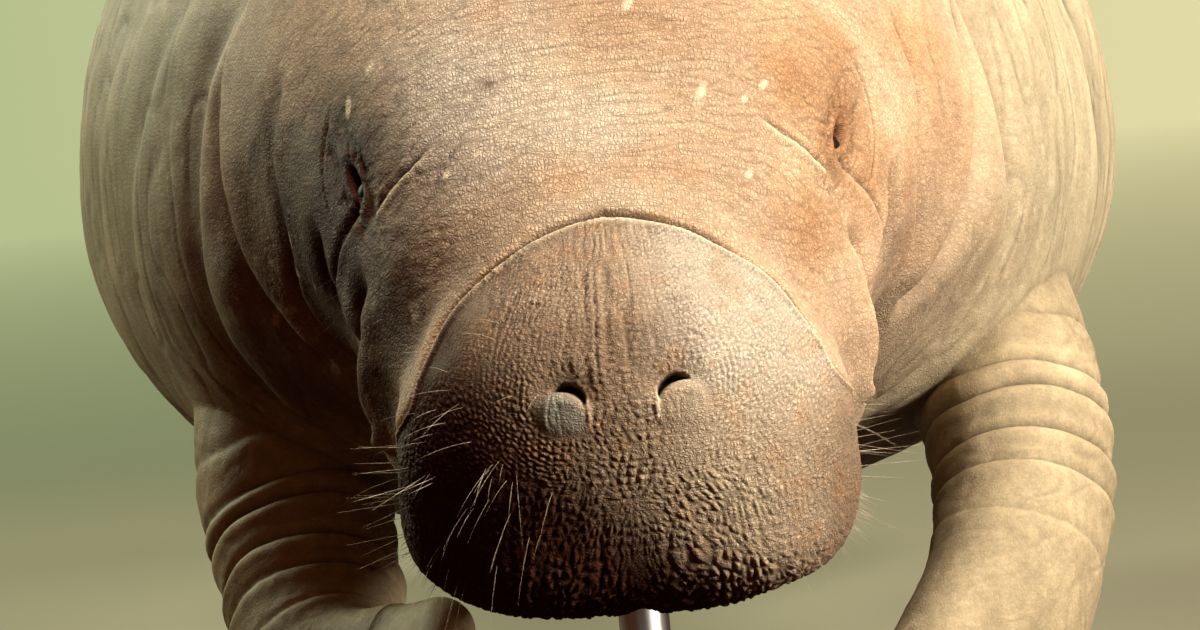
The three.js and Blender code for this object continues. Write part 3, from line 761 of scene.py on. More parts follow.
def keep_coordinates(trunk, along, turn):
    """Stores (along + 1, sine, cosine of the turn) in the trunk's points. Other parts' points have zeros."""
    turns = np.broadcast_to(turn, along.shape)
    rows = np.stack([along + 1, np.sin(turns), np.cos(turns)], axis=-1).reshape(-1, 3)
    rows = np.concatenate([[(1, 0, 1)], rows, [(LENGTH + 1, 0, 1)]])
    kept = trunk.data.attributes.new("coordinates", "FLOAT_VECTOR", "POINT")
    kept.data.foreach_set("vector", rows.astype(np.float32).ravel())


def kept_place(skin, points):
    """The place of the skin's points, as they were made on the trunk, or worked out from where they are."""
    kept = skin.data.attributes["coordinates"]
    rows = np.empty(len(points) * 3, np.float32)
    kept.data.foreach_get("vector", rows)
    skin.data.attributes.remove(kept)
    rows = rows.reshape(-1, 3).astype(float)
    along, turn, across, up = body_coordinates(points)
    own = rows[:, 0] > 0.5
    along[own] = np.clip(rows[own, 0] - 1, 0, LENGTH)
    turn[own] = np.arctan2(rows[own, 1], rows[own, 2])
    across[own], up[own] = section(along[own] + crease_pull(along[own], turn[own]), turn[own])
    return Place(along, turn, points, across, up)


def jaw_object():
    end = JAW["along"][-1]
    turns = np.arange(JAW_AROUND) / JAW_AROUND * 2 * np.pi
    along, turn = np.meshgrid(np.arange(JAW_START + 1.5, end, JAW_STEP), turns, indexing="ij")
    at = np.maximum(along, JAW["along"][0])
    height = np.where(np.cos(turn) >= 0, column(JAW, "rise", at), column(JAW, "drop", at))
    cap = rounded(along - JAW_START, JAW_CAP, 2.2)
    upward = JAW_CENTRE + height * cap * power(np.cos(turn), JAW_ROUND)
    rings = off_spine(along, column(JAW, "half", at) * cap * power(np.sin(turn), JAW_ROUND), upward)
    outward = unit(rings - rings.mean(axis=1, keepdims=True))
    rings += outward * (0.8 * noise(rings, 5, 31))[..., None]
    ends = [off_spine(np.array(float(x)), 0.0, float(JAW_CENTRE)) for x in (JAW_START, end)]
    return grid_mesh("jaw", rings, *ends)


# Flippers


def limb_curve(joints, at):
    """Points and directions of the smooth curve through the joints."""
    joints = np.array(joints, float)
    ends = [2 * joints[0] - joints[1], 2 * joints[-1] - joints[-2]]
    p = np.concatenate([[ends[0]], joints, [ends[1]]])
    scaled = at * (len(joints) - 1)
    i = np.clip(np.floor(scaled).astype(int), 0, len(joints) - 2)
    t = (scaled - i)[..., None]
    a, b, c, d = p[i], p[i + 1], p[i + 2], p[i + 3]
    k1, k2, k3 = (c - a) / 2, a - 2.5 * b + 2 * c - d / 2, (d - a) / 2 + 1.5 * (b - c)
    return b + k1 * t + k2 * t**2 + k3 * t**3, unit(k1 + 2 * k2 * t + 3 * k3 * t**2)


def limb_frame(flipper, at):
    """Centre, way across, outward way, half width, thickness and thinning at shares of the way to the tip."""
    side, joints = FLIPPERS[flipper]
    joints = [(side * out, back - STAND_CENTRE, up) for out, back, up in joints]
    centre, tangent = limb_curve(joints, at)
    hints = [column(LIMB, key, at) for key in ("hint_x", "hint_y", "hint_z")]
    across = np.stack([side * hints[0], hints[1], hints[2]], axis=-1)
    across = unit(across - tangent * np.sum(across * tangent, axis=-1, keepdims=True))
    outward = unit(np.cross(across, tangent)) * side
    cap = np.where(at > LIMB_TIP["start"], rounded(1 - at, 1 - LIMB_TIP["start"], LIMB_TIP["round"]), 1)
    thick = column(LIMB, "thick", at) / 2 * rounded(1 - at, 0.04, 2)
    return centre, across, outward, column(LIMB, "width", at) / 2 * cap, thick, column(LIMB, "thin", at)


def limb_surface(flipper, at, angle):
    centre, across, outward, half, thick, thin = limb_frame(flipper, at)
    share = -np.cos(angle)
    out = thick * np.sin(angle) * (1 - thin * share)
    return centre + across * (half * share)[..., None] + outward * out[..., None]


def limb_relief(at, angle, points):
    """Skin rolls on the upper arm, faint finger bones on the hand and fine wrinkles."""
    rolls = np.zeros_like(at)
    lean = ROLL_LEAN * np.cos(angle - math.radians(ROLL_TURN))
    for place, depth in ROLLS:
        beyond = LIMB_LENGTH * (at - place - lean) + 2.5 * noise(points, 45, 44)
        rolls += depth * (0.55 * bump(beyond - 8, 6) - bump(beyond, np.where(beyond < 0, 4.5, 2.4)))
    fingers = FINGERS["depth"] * np.cos(FINGERS["count"] * np.pi * np.cos(angle))
    fingers *= smoothstep(at, *FINGERS["start"]) * fall(at, *FINGERS["end"])
    fine = 0.25 * noise(points, 6, 41) - 0.4 * creases(points, (30, 30, 14), 42)
    return rolls + fingers + fine + 1.2 * noise(points, 40, 43)


def limb_grid():
    around = np.arange(LIMB_AROUND) / LIMB_AROUND * 2 * np.pi
    return np.meshgrid(np.linspace(0.001, 0.9985, LIMB_ROWS), around, indexing="ij")


def limb_object(flipper):
    at, angle = limb_grid()
    rings = limb_surface(flipper, at, angle)
    centre = limb_frame(flipper, at[:, 0])[0]
    outward = unit(rings - centre[:, None])
    edge = rounded(1 - at, 0.03, 2)
    rings = rings + outward * (limb_relief(at, angle, rings) * edge)[..., None]
    start, end = (limb_frame(flipper, np.array([x]))[0][0] for x in (0.0, 1.0))
    side = FLIPPERS[flipper][0]
    return grid_mesh("limb_" + flipper, rings[:, :: side], start, end)


# Joining the parts of the skin


def surface_tree(obj):
    mesh = obj.data
    mesh.calc_loop_triangles()
    triangles = np.empty(len(mesh.loop_triangles) * 3, np.int32)
    mesh.loop_triangles.foreach_get("vertices", triangles)
    return BVHTree.FromPolygons(mesh_points(obj).tolist(), triangles.reshape(-1, 3).tolist())


def distances(points, tree, limit):
    """Distance from each point to a surface, or the limit where it is farther."""
    found = (tree.find_nearest(Vector(point), limit)[3] for point in points)
    return np.array([limit if far is None else far for far in found])


def swell_towards(obj, tree, box):
    """Lifts the skin where another part comes close, so that the two run into each other smoothly."""
    points = mesh_points(obj)
    near = points_in_box(points, box, SHOULDER_BLEND)
    far = distances(points[near], tree, SHOULDER_BLEND)
    lift = SHOULDER_LIFT * (1 - far / SHOULDER_BLEND) ** 2
    points[near] += mesh_normals(obj)[near] * lift[:, None]
    set_points(obj, points)


def points_in_box(points, box, margin):
    return np.flatnonzero(np.all((points > box[0] - margin) & (points < box[1] + margin), axis=1))


def mesh_normals(obj):
    normals = np.empty(len(obj.data.vertices) * 3, np.float32)
    obj.data.vertices.foreach_get("normal", normals)
    return normals.reshape(-1, 3)


def united(first, others):
    """The union of closed objects as one object, which takes the first one's name."""
    for other in others:
        modifier = first.modifiers.new("join", "BOOLEAN")
        modifier.operation = "UNION"
        modifier.solver = "MANIFOLD"
        modifier.object = other
    made = bpy.data.meshes.new_from_object(first.evaluated_get(bpy.context.evaluated_depsgraph_get()))
    first.modifiers.clear()
    first.data = made
    for other in others:
        drop_object(other)
    return first


def edge_array(obj):
    edges = np.empty(len(obj.data.edges) * 2, np.int32)
    obj.data.edges.foreach_get("vertices", edges)
    return edges.reshape(-1, 2)


def neighbour_sums(edges, values):
    """For each point, the sum of its neighbours' values."""
    both = np.concatenate([edges, edges[:, ::-1]])
    sums = [np.bincount(both[:, 0], column_values[both[:, 1]], len(values)) for column_values in values.T]
    return np.stack(sums, axis=-1)


def smooth_seams(obj, weights):
    """Evens out the points that have a weight by moving them towards the middle of their neighbours."""
    points = mesh_points(obj)
    edges = edge_array(obj)
    edges = edges[(weights[edges] > 0).any(axis=1)]
    count = np.bincount(edges.ravel(), minlength=len(points))
    moving = np.flatnonzero((weights > 0) & (count > 0))
    for _ in range(SEAM["rounds"]):
        middle = neighbour_sums(edges, points)[moving] / count[moving, None]
        points[moving] += SEAM["pull"] * weights[moving, None] * (middle - points[moving])
    set_points(obj, points)


def limb_nearness(points, trees, boxes):
    """How near each point is to the line where a flipper leaves the body, and its share of the flipper."""
    seam, share = np.zeros(len(points)), np.zeros(len(points))
    for name, box in boxes.items():
        near = points_in_box(points, box, 10)
        to_limb = distances(points[near], trees[name], LIMB_REACH)
        near, to_limb = near[to_limb < LIMB_REACH], to_limb[to_limb < LIMB_REACH]
        to_trunk = distances(points[near], trees["trunk"], LIMB_REACH)
        seam[near] = np.maximum(seam[near], 1 - np.maximum(to_trunk, to_limb) / SEAM["reach"])
        share[near] = np.maximum(share[near], smoothstep(to_trunk - to_limb, -LIMB_EDGE, LIMB_EDGE))
    return np.maximum(seam, 0), share


def build_skin():
    """The skin as one closed surface, and each point's share of the flippers."""
    trunk = trunk_object()
    limbs = {name: limb_object(name) for name in FLIPPERS}
    boxes = {}
    plain = {"trunk": surface_tree(trunk)}
    for name, limb in limbs.items():
        points = mesh_points(limb)
        boxes[name] = (points.min(axis=0), points.max(axis=0))
        plain[name] = surface_tree(limb)
    for name, limb in limbs.items():
        swell_towards(trunk, plain[name], boxes[name])
        swell_towards(limb, plain["trunk"], boxes[name])
    trees = {"trunk": surface_tree(trunk), **{name: surface_tree(limb) for name, limb in limbs.items()}}
    skin = united(trunk, [*limbs.values(), jaw_object()])
    seam, limb_share = limb_nearness(mesh_points(skin), trees, boxes)
    smooth_seams(skin, seam)
    skin.name = skin.data.name = "skin"
    skin.data.polygons.foreach_set("use_smooth", np.ones(len(skin.data.polygons), bool))
    return skin, limb_share


def hollowness(obj, rounds):
    """How far each point lies below the mean of those around it, in millimetres."""
    points = mesh_points(obj)
    edges = edge_array(obj)
    count = np.maximum(np.bincount(edges.ravel(), minlength=len(points)), 1)[:, None]
    even = points.copy()
    for _ in range(rounds):
        even = 0.5 * even + 0.5 * neighbour_sums(edges, even) / count
    return np.sum((even - points) * mesh_normals(obj), axis=1)


# Colours of the hide, in linear light, with painted shade, shadow and highlights among them

HIDE = np.array([0.36, 0.262, 0.18])
TAN = np.array([0.50, 0.335, 0.205])
ORANGE = np.array([0.46, 0.23, 0.105])
# PALE serves for the skin's own blotches, speckles and scars and for painted highlights; DARK for its own
# blotches and for painted shade
PALE = np.array([0.70, 0.58, 0.41])
DARK = np.array([0.10, 0.055, 0.03])
# Nearly black, used only as painted shade and painted shadow
DEEP_SHADE = np.array([0.05, 0.012, 0.004])
GREY = np.array([0.39, 0.33, 0.215])
COOL = np.array([0.56, 0.52, 0.43])
BROWN = np.array([0.33, 0.175, 0.085])
# Brown mottling and cool grey patches of the head's own skin, and near-black painted shade and shadow where
# the head lies in shade
HEAD_MOTTLES_AND_PAINTED_SHADOWS = [  # colour, along, turn in degrees, reach, share
    (COOL, 250, -24, 74, 0.7),
    (COOL, 196, 4, 40, 0.3),
    (BROWN, 258, 43, 26, 0.7),
    # painted shade on the back slope of the left eye's pit
    (DEEP_SHADE, 266, 57, 9, 0.8),
    (BROWN, 264, 56, 32, 0.7),
    (BROWN, 188, 56, 26, 0.75),
    (BROWN, 262, 74, 26, 0.6),
    (BROWN, 272, 8, 44, 0.4),
    (BROWN, 380, 84, 50, 0.35),
    # painted shadow over the animal's right side of the head, cheek, throat and chest, which face away from
    # the light
    (DEEP_SHADE, 276, -61, 58, 1.0),
    (DEEP_SHADE, 256, -79, 60, 0.8),
    (DEEP_SHADE, 300, -94, 90, 0.85),
    (DEEP_SHADE, 196, -66, 52, 0.8),
    (DEEP_SHADE, 440, -120, 130, 0.7),
]
# The nostril plug's colour as lit on the animal's left and as shaded on its right: painted light
PLUG_LIT_AND_SHADED_TONES = {"left": np.array([0.44, 0.34, 0.225]), "right": np.array([0.27, 0.30, 0.255])}
LIMB_TINT = np.array([0.80, 0.75, 0.70])
# Noise layers as (size, share, seed)
BLOTCHES = [(130, 1, 51), (52, 0.6, 52), (17, 0.35, 53)]
WARM_SPOTS = [(44, 1, 58), (15, 0.5, 59)]
STREAKS = [((20, 20, 130), 1, 60), ((8, 8, 60), 0.6, 61)]
PORES = [(5, 0.10, 54), (2.6, 0.08, 55)]
RAGGED = [(34, 0.35, 63), (11, 0.2, 64)]
MUZZLE_SPOTS = [(9, 1, 65), (26, 0.6, 66)]
SCARS = [  # along, turn in degrees, length, width, angle on the skin
    (228, 20, 8, 3.2, 10),
    (202, -24, 4, 2.4, 80),
    (246, 34, 5, 2.6, 30),
    (292, -51, 8, 4, 40),
    (202, -33, 4, 3, 60),
    (182, 35, 3.4, 3, 0),
    (232, 30, 4, 2.4, 20),
    (300, -42, 6, 3, 70),
    (320, 36, 14, 5, 60),
    (286, 6, 5, 2.6, 10),
]


def mix(colour, other, share):
    return colour + (other - colour) * np.clip(share, 0, 1)[:, None]


def layered(colour, layers):
    """The colour with each (colour, share) layer laid over it in turn."""
    for shade, share in layers:
        colour = mix(colour, shade, share)
    return colour


def hide_colours(p, points, limb_share):
    blotches = mixed_noise(points, BLOTCHES)
    far = np.maximum(limb_share, smoothstep(p.along, 300, 620))
    brow = fall(p.along, 330, 560) * fall(p.degrees, 85, 120) * (1 - p.muzzle)
    colour = layered(np.tile(HIDE, (len(points), 1)), [
        (GREY, far),
        (TAN, brow * (0.6 + 0.5 * blotches)),
        (ORANGE, 0.5 * brow * smoothstep(mixed_noise(points, WARM_SPOTS), 0.0, 0.9)),
        (PALE, 0.3 * smoothstep(blotches, 0.2, 1.1)),
        (DARK, 0.34 * smoothstep(-blotches, 0.25, 1.2) * (1 - 0.5 * far)),
    ])
    colour = colour * (1 + 0.14 * far * mixed_noise(points, STREAKS))[:, None]
    colour = mix(head_colours(p, points, colour), colour * LIMB_TINT, limb_share)
    return colour * (1 + mixed_noise(points, PORES))[:, None]


def head_colours(p, points, colour):
    # darker round each eye, partly the skin's own tone, and nearly black in its pit as painted shade
    colour = layered(colour, [(DARK, 0.55 * bump(p.eye, 24)), (DEEP_SHADE, 0.95 * bump(p.eye, 10))])
    ragged = 1 + mixed_noise(points, RAGGED)
    for shade, along, degrees, reach, share in HEAD_MOTTLES_AND_PAINTED_SHADOWS:
        away = np.hypot(p.along - along, p.half * np.radians(p.left * p.degrees - degrees))
        colour = mix(colour, shade, share * bump(away * ragged, reach) * (1 - p.muzzle))
    colour = nostril_tones_and_painted_light(p, crease_highlights_and_shade(p, muzzle_spots_and_painted_light(p, points, colour)))
    speckle = smoothstep(noise(points, 8, 56), 0.62, 0.8) * smoothstep(noise(points, 90, 57), -0.1, 0.5)
    colour = mix(colour, PALE, 0.35 * speckle * (1 - p.muzzle))
    return scar_colours(p, colour)


def muzzle_spots_and_painted_light(p, points, colour):
    """Painted light and shade: paler and cooler at the animal's upper left as a painted highlight, darker in
    the middle and low left as painted shade, and nearly black low right as painted shadow. Orange spots are
    the skin's own.
    """
    x, y = p.disc_x, p.disc_y
    # painted shade: darker in the middle and on the low left of the muzzle
    dim = 0.52 * fall(x, 5, 75) * fall(y, 90, 125) + 0.55 * smoothstep(-y, -40, 50) * smoothstep(x, 88, 130)
    layers = [
        (DARK, dim),
        (PALE, 0.6 * bump(np.hypot(x - 52, y + 2), 52)),
        (COOL, 0.55 * smoothstep(x, 0, 70) * smoothstep(y, 10, 70)),
        (ORANGE, 0.25 * smoothstep(mixed_noise(points, MUZZLE_SPOTS), 0.1, 0.9)),
        (DEEP_SHADE, 0.92 * smoothstep(-y - 0.9 * x, -25, 62)),
    ]
    return layered(colour, [(shade, p.muzzle * share) for shade, share in layers])


def crease_highlights_and_shade(p, colour):
    """Painted highlights on the rim in front of the crease and faintly on the skin behind it, painted shade
    in the crease, and a painted highlight along the wrinkle inside each eye.
    """
    behind, on_snout = p.along - CREASE, fall(p.degrees, 88, 112)
    wrinkle, _ = stroke_distance(BROW, p.side, p.along, p.half)
    return layered(colour, [
        (PALE, on_snout * (bump(behind + 4, 2.2) + 0.15 * bump(behind - 16, 12))),
        (DARK, 0.7 * on_snout * bump(behind - 1, 1.6)),
        (PALE, 0.7 * bump(wrinkle + 2.2, 1.4) * brow_highlight_reach(p)),
    ])


def brow_highlight_reach(p):
    """1 over the length of the painted highlight along the wrinkle inside each eye."""
    return smoothstep(p.degrees, 33, 38) * fall(p.degrees, 55, 59)


def nostril_tones_and_painted_light(p, colour):
    # Painted light: the plug warmer on the lit left and cooler on the shaded right, a painted highlight on
    # its inner rim, stronger on the left, and painted shade in the opening and under the lip above it. The
    # streaks on the plug are its own.
    plug, lip, out, up = nostril_parts(p)
    on_left = p.left > 0
    streaks = 0.75 + 0.35 * noise(stacked(out, up / 7, p.left), 2.2, 62)
    inside = fall(plug, 0.7, 1.08) * smoothstep(up, -15, -5) * streaks
    rim = bump(plug - 1.06, 0.13) * smoothstep(-out, 2, 10) * smoothstep(up, -12, -2)
    above = 0.35 * bump(lip - 1.1, 0.3) * smoothstep(up, 9, 14)
    return layered(colour, [
        (PLUG_LIT_AND_SHADED_TONES["left"], 0.55 * inside * on_left),
        (PLUG_LIT_AND_SHADED_TONES["right"], 0.75 * inside * ~on_left),
        (PALE, (0.25 + 0.5 * on_left) * rim),
        (DARK * 0.15, nostril_opening(plug, lip) + above),
    ])


def scar_colours(p, colour):
    for along, degrees, length, width, angle in SCARS:
        x, y = p.along - along, p.half * np.radians(p.left * p.degrees - degrees)
        c, s = math.cos(math.radians(angle)), math.sin(math.radians(angle))
        shape = np.hypot((x * c + y * s) / length, (y * c - x * s) / width)
        colour = mix(colour, PALE * 1.25, 0.8 * fall(shape, 0.5, 1.1))
    return colour


def paint_furrow_shade_and_ridge_light(colour, hollow):
    """Painted shade makes furrows darker and a painted highlight makes the skin between them paler."""
    return colour * np.clip(1 - 0.42 * np.clip(hollow / 0.5, -0.6, 1.2), 0.4, 1.3)[:, None]


# Grain of the skin: coordinates in cells and a strength, for the shader's furrows

MUZZLE_CELL = (2.3, 2.1)
BODY_CELL = np.array([2.1, 3.4, 3.4])
HOLLOW_ROUNDS = 6


def grain_coordinates(p, points):
    disc = stacked(p.disc_x / MUZZLE_CELL[0], p.disc_y / MUZZLE_CELL[1], 0.0)
    return np.where((p.muzzle > 0.5)[:, None], disc, points / BODY_CELL)


def grain_strength(p, limb_share):
    brow = fall(p.along, 300, 520) * (1 - 0.4 * smoothstep(p.degrees, 50, 80))
    return np.where(p.muzzle > 0.5, 0.85, lerp(0.3 + 0.7 * brow, 0.25, limb_share))


def paint(obj, colours, grain, strength):
    """The skin's colour, with the grain's strength as its fourth value, and the grain's coordinates."""
    tone = obj.data.color_attributes.new("tone", "FLOAT_COLOR", "POINT")
    rgba = np.concatenate([np.clip(colours, 0.003, 1), strength[:, None]], axis=1)
    tone.data.foreach_set("color", rgba.astype(np.float32).ravel())
    places = obj.data.attributes.new("grain", "FLOAT_VECTOR", "POINT")
    places.data.foreach_set("vector", grain.astype(np.float32).ravel())


def colour_skin(skin, limb_share):
    points = mesh_points(skin)
    place = kept_place(skin, points)
    hollow = hollowness(skin, HOLLOW_ROUNDS)
    colours = paint_furrow_shade_and_ridge_light(hide_colours(place, points, limb_share), hollow)
    paint(skin, colours, grain_coordinates(place, points), grain_strength(place, limb_share))


# Materials


class Nodes:
    """A new material with short ways to add and join its nodes."""

    def __init__(self, name):
        self.material = bpy.data.materials.new(name)
        self.material.use_nodes = True
        self.tree = self.material.node_tree
        self.shader = self.tree.nodes["Principled BSDF"]

    def add(self, kind, values=(), **settings):
        node = self.tree.nodes.new("ShaderNode" + kind)
        for key, value in settings.items():
            setattr(node, key, value)
        for key, value in dict(values).items():
            node.inputs[key].default_value = value
        return node

    def join(self, source, target):
        self.tree.links.new(source, target)

    def noise(self, scale, detail=3.0, roughness=0.6):
        node = self.add("TexNoise", {"Scale": scale, "Detail": detail, "Roughness": roughness})
        self.join(self.coordinates(), node.inputs["Vector"])
        return node.outputs["Fac"]

    def coordinates(self):
        if "Place" not in self.tree.nodes:
            self.add("TexCoord").name = "Place"
        return self.tree.nodes["Place"].outputs["Object"]

    def ramp(self, source, stops):
        node = self.add("ValToRGB")
        elements = node.color_ramp.elements
        while len(elements) < len(stops):
            elements.new(1.0)
        for element, (place, colour) in zip(elements, stops):
            element.position = place
            element.color = (*colour, 1)
        self.join(source, node.inputs["Fac"])
        return node.outputs["Color"]

    def feed(self, name, source):
        self.join(source, self.shader.inputs[name])

    def product(self, first, second):
        node = self.add("Math", operation="MULTIPLY")
        self.join(first, node.inputs[0])
        self.join(second, node.inputs[1])
        return node.outputs[0]

    def furrows(self, places, scale, width):
        """0 in the furrows of an uneven net of cells and 1 between them."""
        stretch = self.add("VectorMath", operation="MULTIPLY")
        stretch.inputs[1].default_value = scale
        self.join(places, stretch.inputs[0])
        node = self.add("TexVoronoi", {"Scale": 1.0, "Randomness": 0.9}, feature="DISTANCE_TO_EDGE")
        self.join(stretch.outputs["Vector"], node.inputs["Vector"])
        return self.spread(node.outputs["Distance"], 0, 1, 0, width)

    def times(self, first, second, share=None):
        node = self.add("Mix", data_type="RGBA", blend_type="MULTIPLY")
        node.inputs["Factor"].default_value = 1.0
        if share:
            self.join(share, node.inputs["Factor"])
        first_colour, second_colour = (socket for socket in node.inputs if socket.type == "RGBA")
        self.join(first, first_colour)
        self.join(second, second_colour)
        return next(socket for socket in node.outputs if socket.type == "RGBA")

    def spread(self, source, low, high, from_low=0.0, from_high=1.0):
        limits = {"From Min": from_low, "From Max": from_high, "To Min": low, "To Max": high}
        node = self.add("MapRange", limits)
        self.join(source, node.inputs["Value"])
        return node.outputs["Result"]

    def bump(self, source, distance, strength=1.0, below=None):
        node = self.add("Bump", {"Distance": distance, "Strength": strength})
        self.join(source, node.inputs["Height"])
        if below:
            self.join(below, node.inputs["Normal"])
        return node.outputs["Normal"]


def hide_material():
    """The painted colour, cut up by furrows of three sizes where the grain is strong, with painted shade
    darkening the colour in the furrows.
    """
    m = Nodes("hide")
    tone = m.add("Attribute", attribute_name="tone")
    places = m.add("Attribute", attribute_name="grain").outputs["Vector"]
    strength = tone.outputs["Alpha"]
    furrow = m.furrows(places, (1, 1, 1), 0.24)
    fine = m.furrows(places, (2.3, 2.3, 2.3), 0.3)
    long = m.furrows(places, (0.13, 0.72, 0.72), 0.12)
    lines = m.product(furrow, long)
    # painted shade: the colour is darker in the furrows
    shades = m.ramp(lines, [(0.0, (0.70, 0.66, 0.62)), (0.8, (1.05, 1.05, 1.04))])
    mottle = m.ramp(m.noise(420, 4), [(0.3, (0.86, 0.85, 0.84)), (0.7, (1.12, 1.11, 1.09))])
    grained = m.times(tone.outputs["Color"], shades, strength)
    m.feed("Base Color", m.times(grained, mottle))
    coarse = m.bump(m.product(lines, strength), 0.0006, 0.8)
    finer = m.bump(m.product(fine, strength), 0.00025, 0.7, coarse)
    m.feed("Normal", m.bump(m.noise(1100, 3), 0.00025, 0.5, finer))
    m.feed("Roughness", m.spread(m.noise(60), 0.52, 0.7))
    m.shader.inputs["Specular IOR Level"].default_value = 0.05
    return m.material


def eye_material():
    m = Nodes("eye")
    iris = m.ramp(m.noise(700, 2), [(0.35, (0.006, 0.004, 0.003)), (0.75, (0.022, 0.012, 0.007))])
    m.feed("Base Color", iris)
    m.shader.inputs["Roughness"].default_value = 0.5
    m.shader.inputs["Specular IOR Level"].default_value = 0.04
    return m.material


def nail_material():
    m = Nodes("nail")
    horn = m.ramp(m.noise(160, 4), [(0.3, (0.30, 0.22, 0.14)), (0.7, (0.62, 0.52, 0.38))])
    m.feed("Base Color", horn)
    m.feed("Normal", m.bump(m.noise(500, 2), 0.0003))
    m.shader.inputs["Roughness"].default_value = 0.38
    return m.material


def whisker_material():
    m = Nodes("whisker")
    shade = m.ramp(m.noise(90, 1), [(0.3, (0.30, 0.23, 0.14)), (0.75, (0.74, 0.64, 0.45))])
    m.feed("Base Color", shade)
    m.shader.inputs["Roughness"].default_value = 0.4
    return m.material


def base_material():
    m = Nodes("stand_paint")
    paint_shade = m.ramp(m.noise(14, 5), [(0.35, (0.020, 0.022, 0.024)), (0.7, (0.036, 0.038, 0.040))])
    m.feed("Base Color", paint_shade)
    m.feed("Normal", m.bump(m.noise(1400, 2), 0.0002, 0.5))
    m.feed("Roughness", m.spread(m.noise(30), 0.36, 0.5))
    return m.material


def rod_material():
    m = Nodes("stand_steel")
    stretch = m.add("Mapping", {"Scale": (900, 900, 30)})
    m.join(m.coordinates(), stretch.inputs["Vector"])
    grain = m.add("TexNoise", {"Scale": 1.0, "Detail": 2.0})
    m.join(stretch.outputs["Vector"], grain.inputs["Vector"])
    m.feed("Roughness", m.spread(grain.outputs["Fac"], 0.24, 0.42))
    m.feed("Base Color", m.ramp(grain.outputs["Fac"], [(0.3, (0.50, 0.51, 0.52)), (0.7, (0.64, 0.65, 0.66))]))
    m.shader.inputs["Metallic"].default_value = 1.0
    return m.material


# Eyes, nails, whiskers


def ball_rings(rows, columns):
    """Rings of a unit ball, pole to pole along +Z, without its two poles."""
    tilts, turns = np.arange(1, rows) / rows * np.pi, np.arange(columns) / columns * 2 * np.pi
    tilt, turn = np.meshgrid(tilts, turns, indexing="ij")
    return stacked(np.sin(tilt) * np.cos(turn), np.sin(tilt) * np.sin(turn), np.cos(tilt))


def add_eye(side, material):
    low, high = (np.array(corner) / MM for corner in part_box("eye_" + side))
    centre, radius = (low + high) / 2, (high[0] - low[0]) / 2
    rings = ball_rings(24, 40) * radius + centre
    pole = np.array([0, 0, radius])
    eye = grid_mesh("eyeball_" + side, rings[::-1], centre - pole, centre + pole)
    dress(eye, material, "eye", "eye_" + side)


def add_nail(flipper, number, material):
    at, across = NAILS[number]
    at = np.array([at])
    centre, _, outward, _, _, _ = limb_frame(flipper, at)
    place = limb_surface(flipper, at, np.arccos([-across]))[0]
    ahead = unit(centre - limb_frame(flipper, at - 0.02)[0])[0]
    outward = outward[0]
    wide = np.cross(ahead, outward)
    ball = ball_rings(14, 24)
    ball[..., 2] = power(ball[..., 2], 0.8)
    size = np.array([NAIL["width"], NAIL["length"], NAIL["thick"]]) / 2
    frame_axes = np.stack([wide, ahead, outward])
    middle, pole = place - outward, outward * size[2]
    rings = middle + (ball * size) @ frame_axes
    nail = grid_mesh(f"claw_{flipper}_{number + 1}", rings[::-1], middle - pole, middle + pole)
    dress(nail, material, "nail", f"nail_{flipper}_{number + 1}")


def dress(obj, material, slot, *nodes):
    """Gives a piece its material, hangs it on the root body and hides the solids that it stands for. The slot
    is not used.
    """
    obj.data.materials.clear()
    obj.data.materials.append(material)
    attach(obj, "root")
    if nodes:
        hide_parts(*nodes)


HAIR_POINTS = 7
HAIR_SIDES = 4
# A band's count is for one side, and "back" and "down" say how far its hairs lean.
HAIR_KEYS = ("count", "along", "turn", "length", "radius", "back", "down")
HAIR_BANDS = [dict(zip(HAIR_KEYS, band)) for band in [
    (20, (40, 104), (84, 118), (22, 42), 0.15, 0.1, 0.0),
    (80, (58, 92), (112, 134), (6, 15), 0.13, 0.1, 0.4),
    (26, (3, 30), (64, 128), (14, 40), 0.08, 0.5, 0.7),
    (24, (20, 120), (30, 95), (14, 40), 0.09, 0.5, 0.5),
    (34, (140, 420), (5, 110), (7, 16), 0.08, 0.8, 0.6),
]]
HAIR_JITTER = 0.16
HAIR_DROOP = 0.35
HAIR_TAPER = 0.85
HAIR_PATCH = 0.003


def hair_roots(band):
    count = band["count"] * 2
    along = random.uniform(*band["along"], count)
    turn = np.radians(random.uniform(*band["turn"], count)) * np.repeat([1, -1], band["count"])
    return along, turn


def hair_paths(band, along, turn):
    """Points along each hair, which leaves the skin square to it and then bends back and down."""
    root, normal = skin_surface(along, turn)
    jitter = random.normal(0, HAIR_JITTER, root.shape)
    lean = np.array([0, band["back"], -band["down"]])
    start = unit(normal + 0.4 * lean + jitter)
    length = random.uniform(*band["length"], len(root))
    t = np.linspace(0, 1, HAIR_POINTS)[None, :, None]
    reach = length[:, None, None]
    return root[:, None] - normal[:, None] + start[:, None] * t * reach + lean * HAIR_DROOP * t**2 * reach


def tube_grid(paths, radius):
    """Rings of points round each path, which thins to a point."""
    tangent = unit(np.gradient(paths, axis=1))
    side = unit(np.cross(tangent, [0.31, 0.17, 0.93]))
    other = np.cross(tangent, side)
    angle = np.arange(HAIR_SIDES) / HAIR_SIDES * 2 * np.pi
    thick = radius * (1 - HAIR_TAPER * np.linspace(0, 1, HAIR_POINTS) ** 1.5)[None, :, None, None]
    ring = side[:, :, None] * np.cos(angle)[:, None] + other[:, :, None] * np.sin(angle)[:, None]
    return paths[:, :, None] + ring * thick


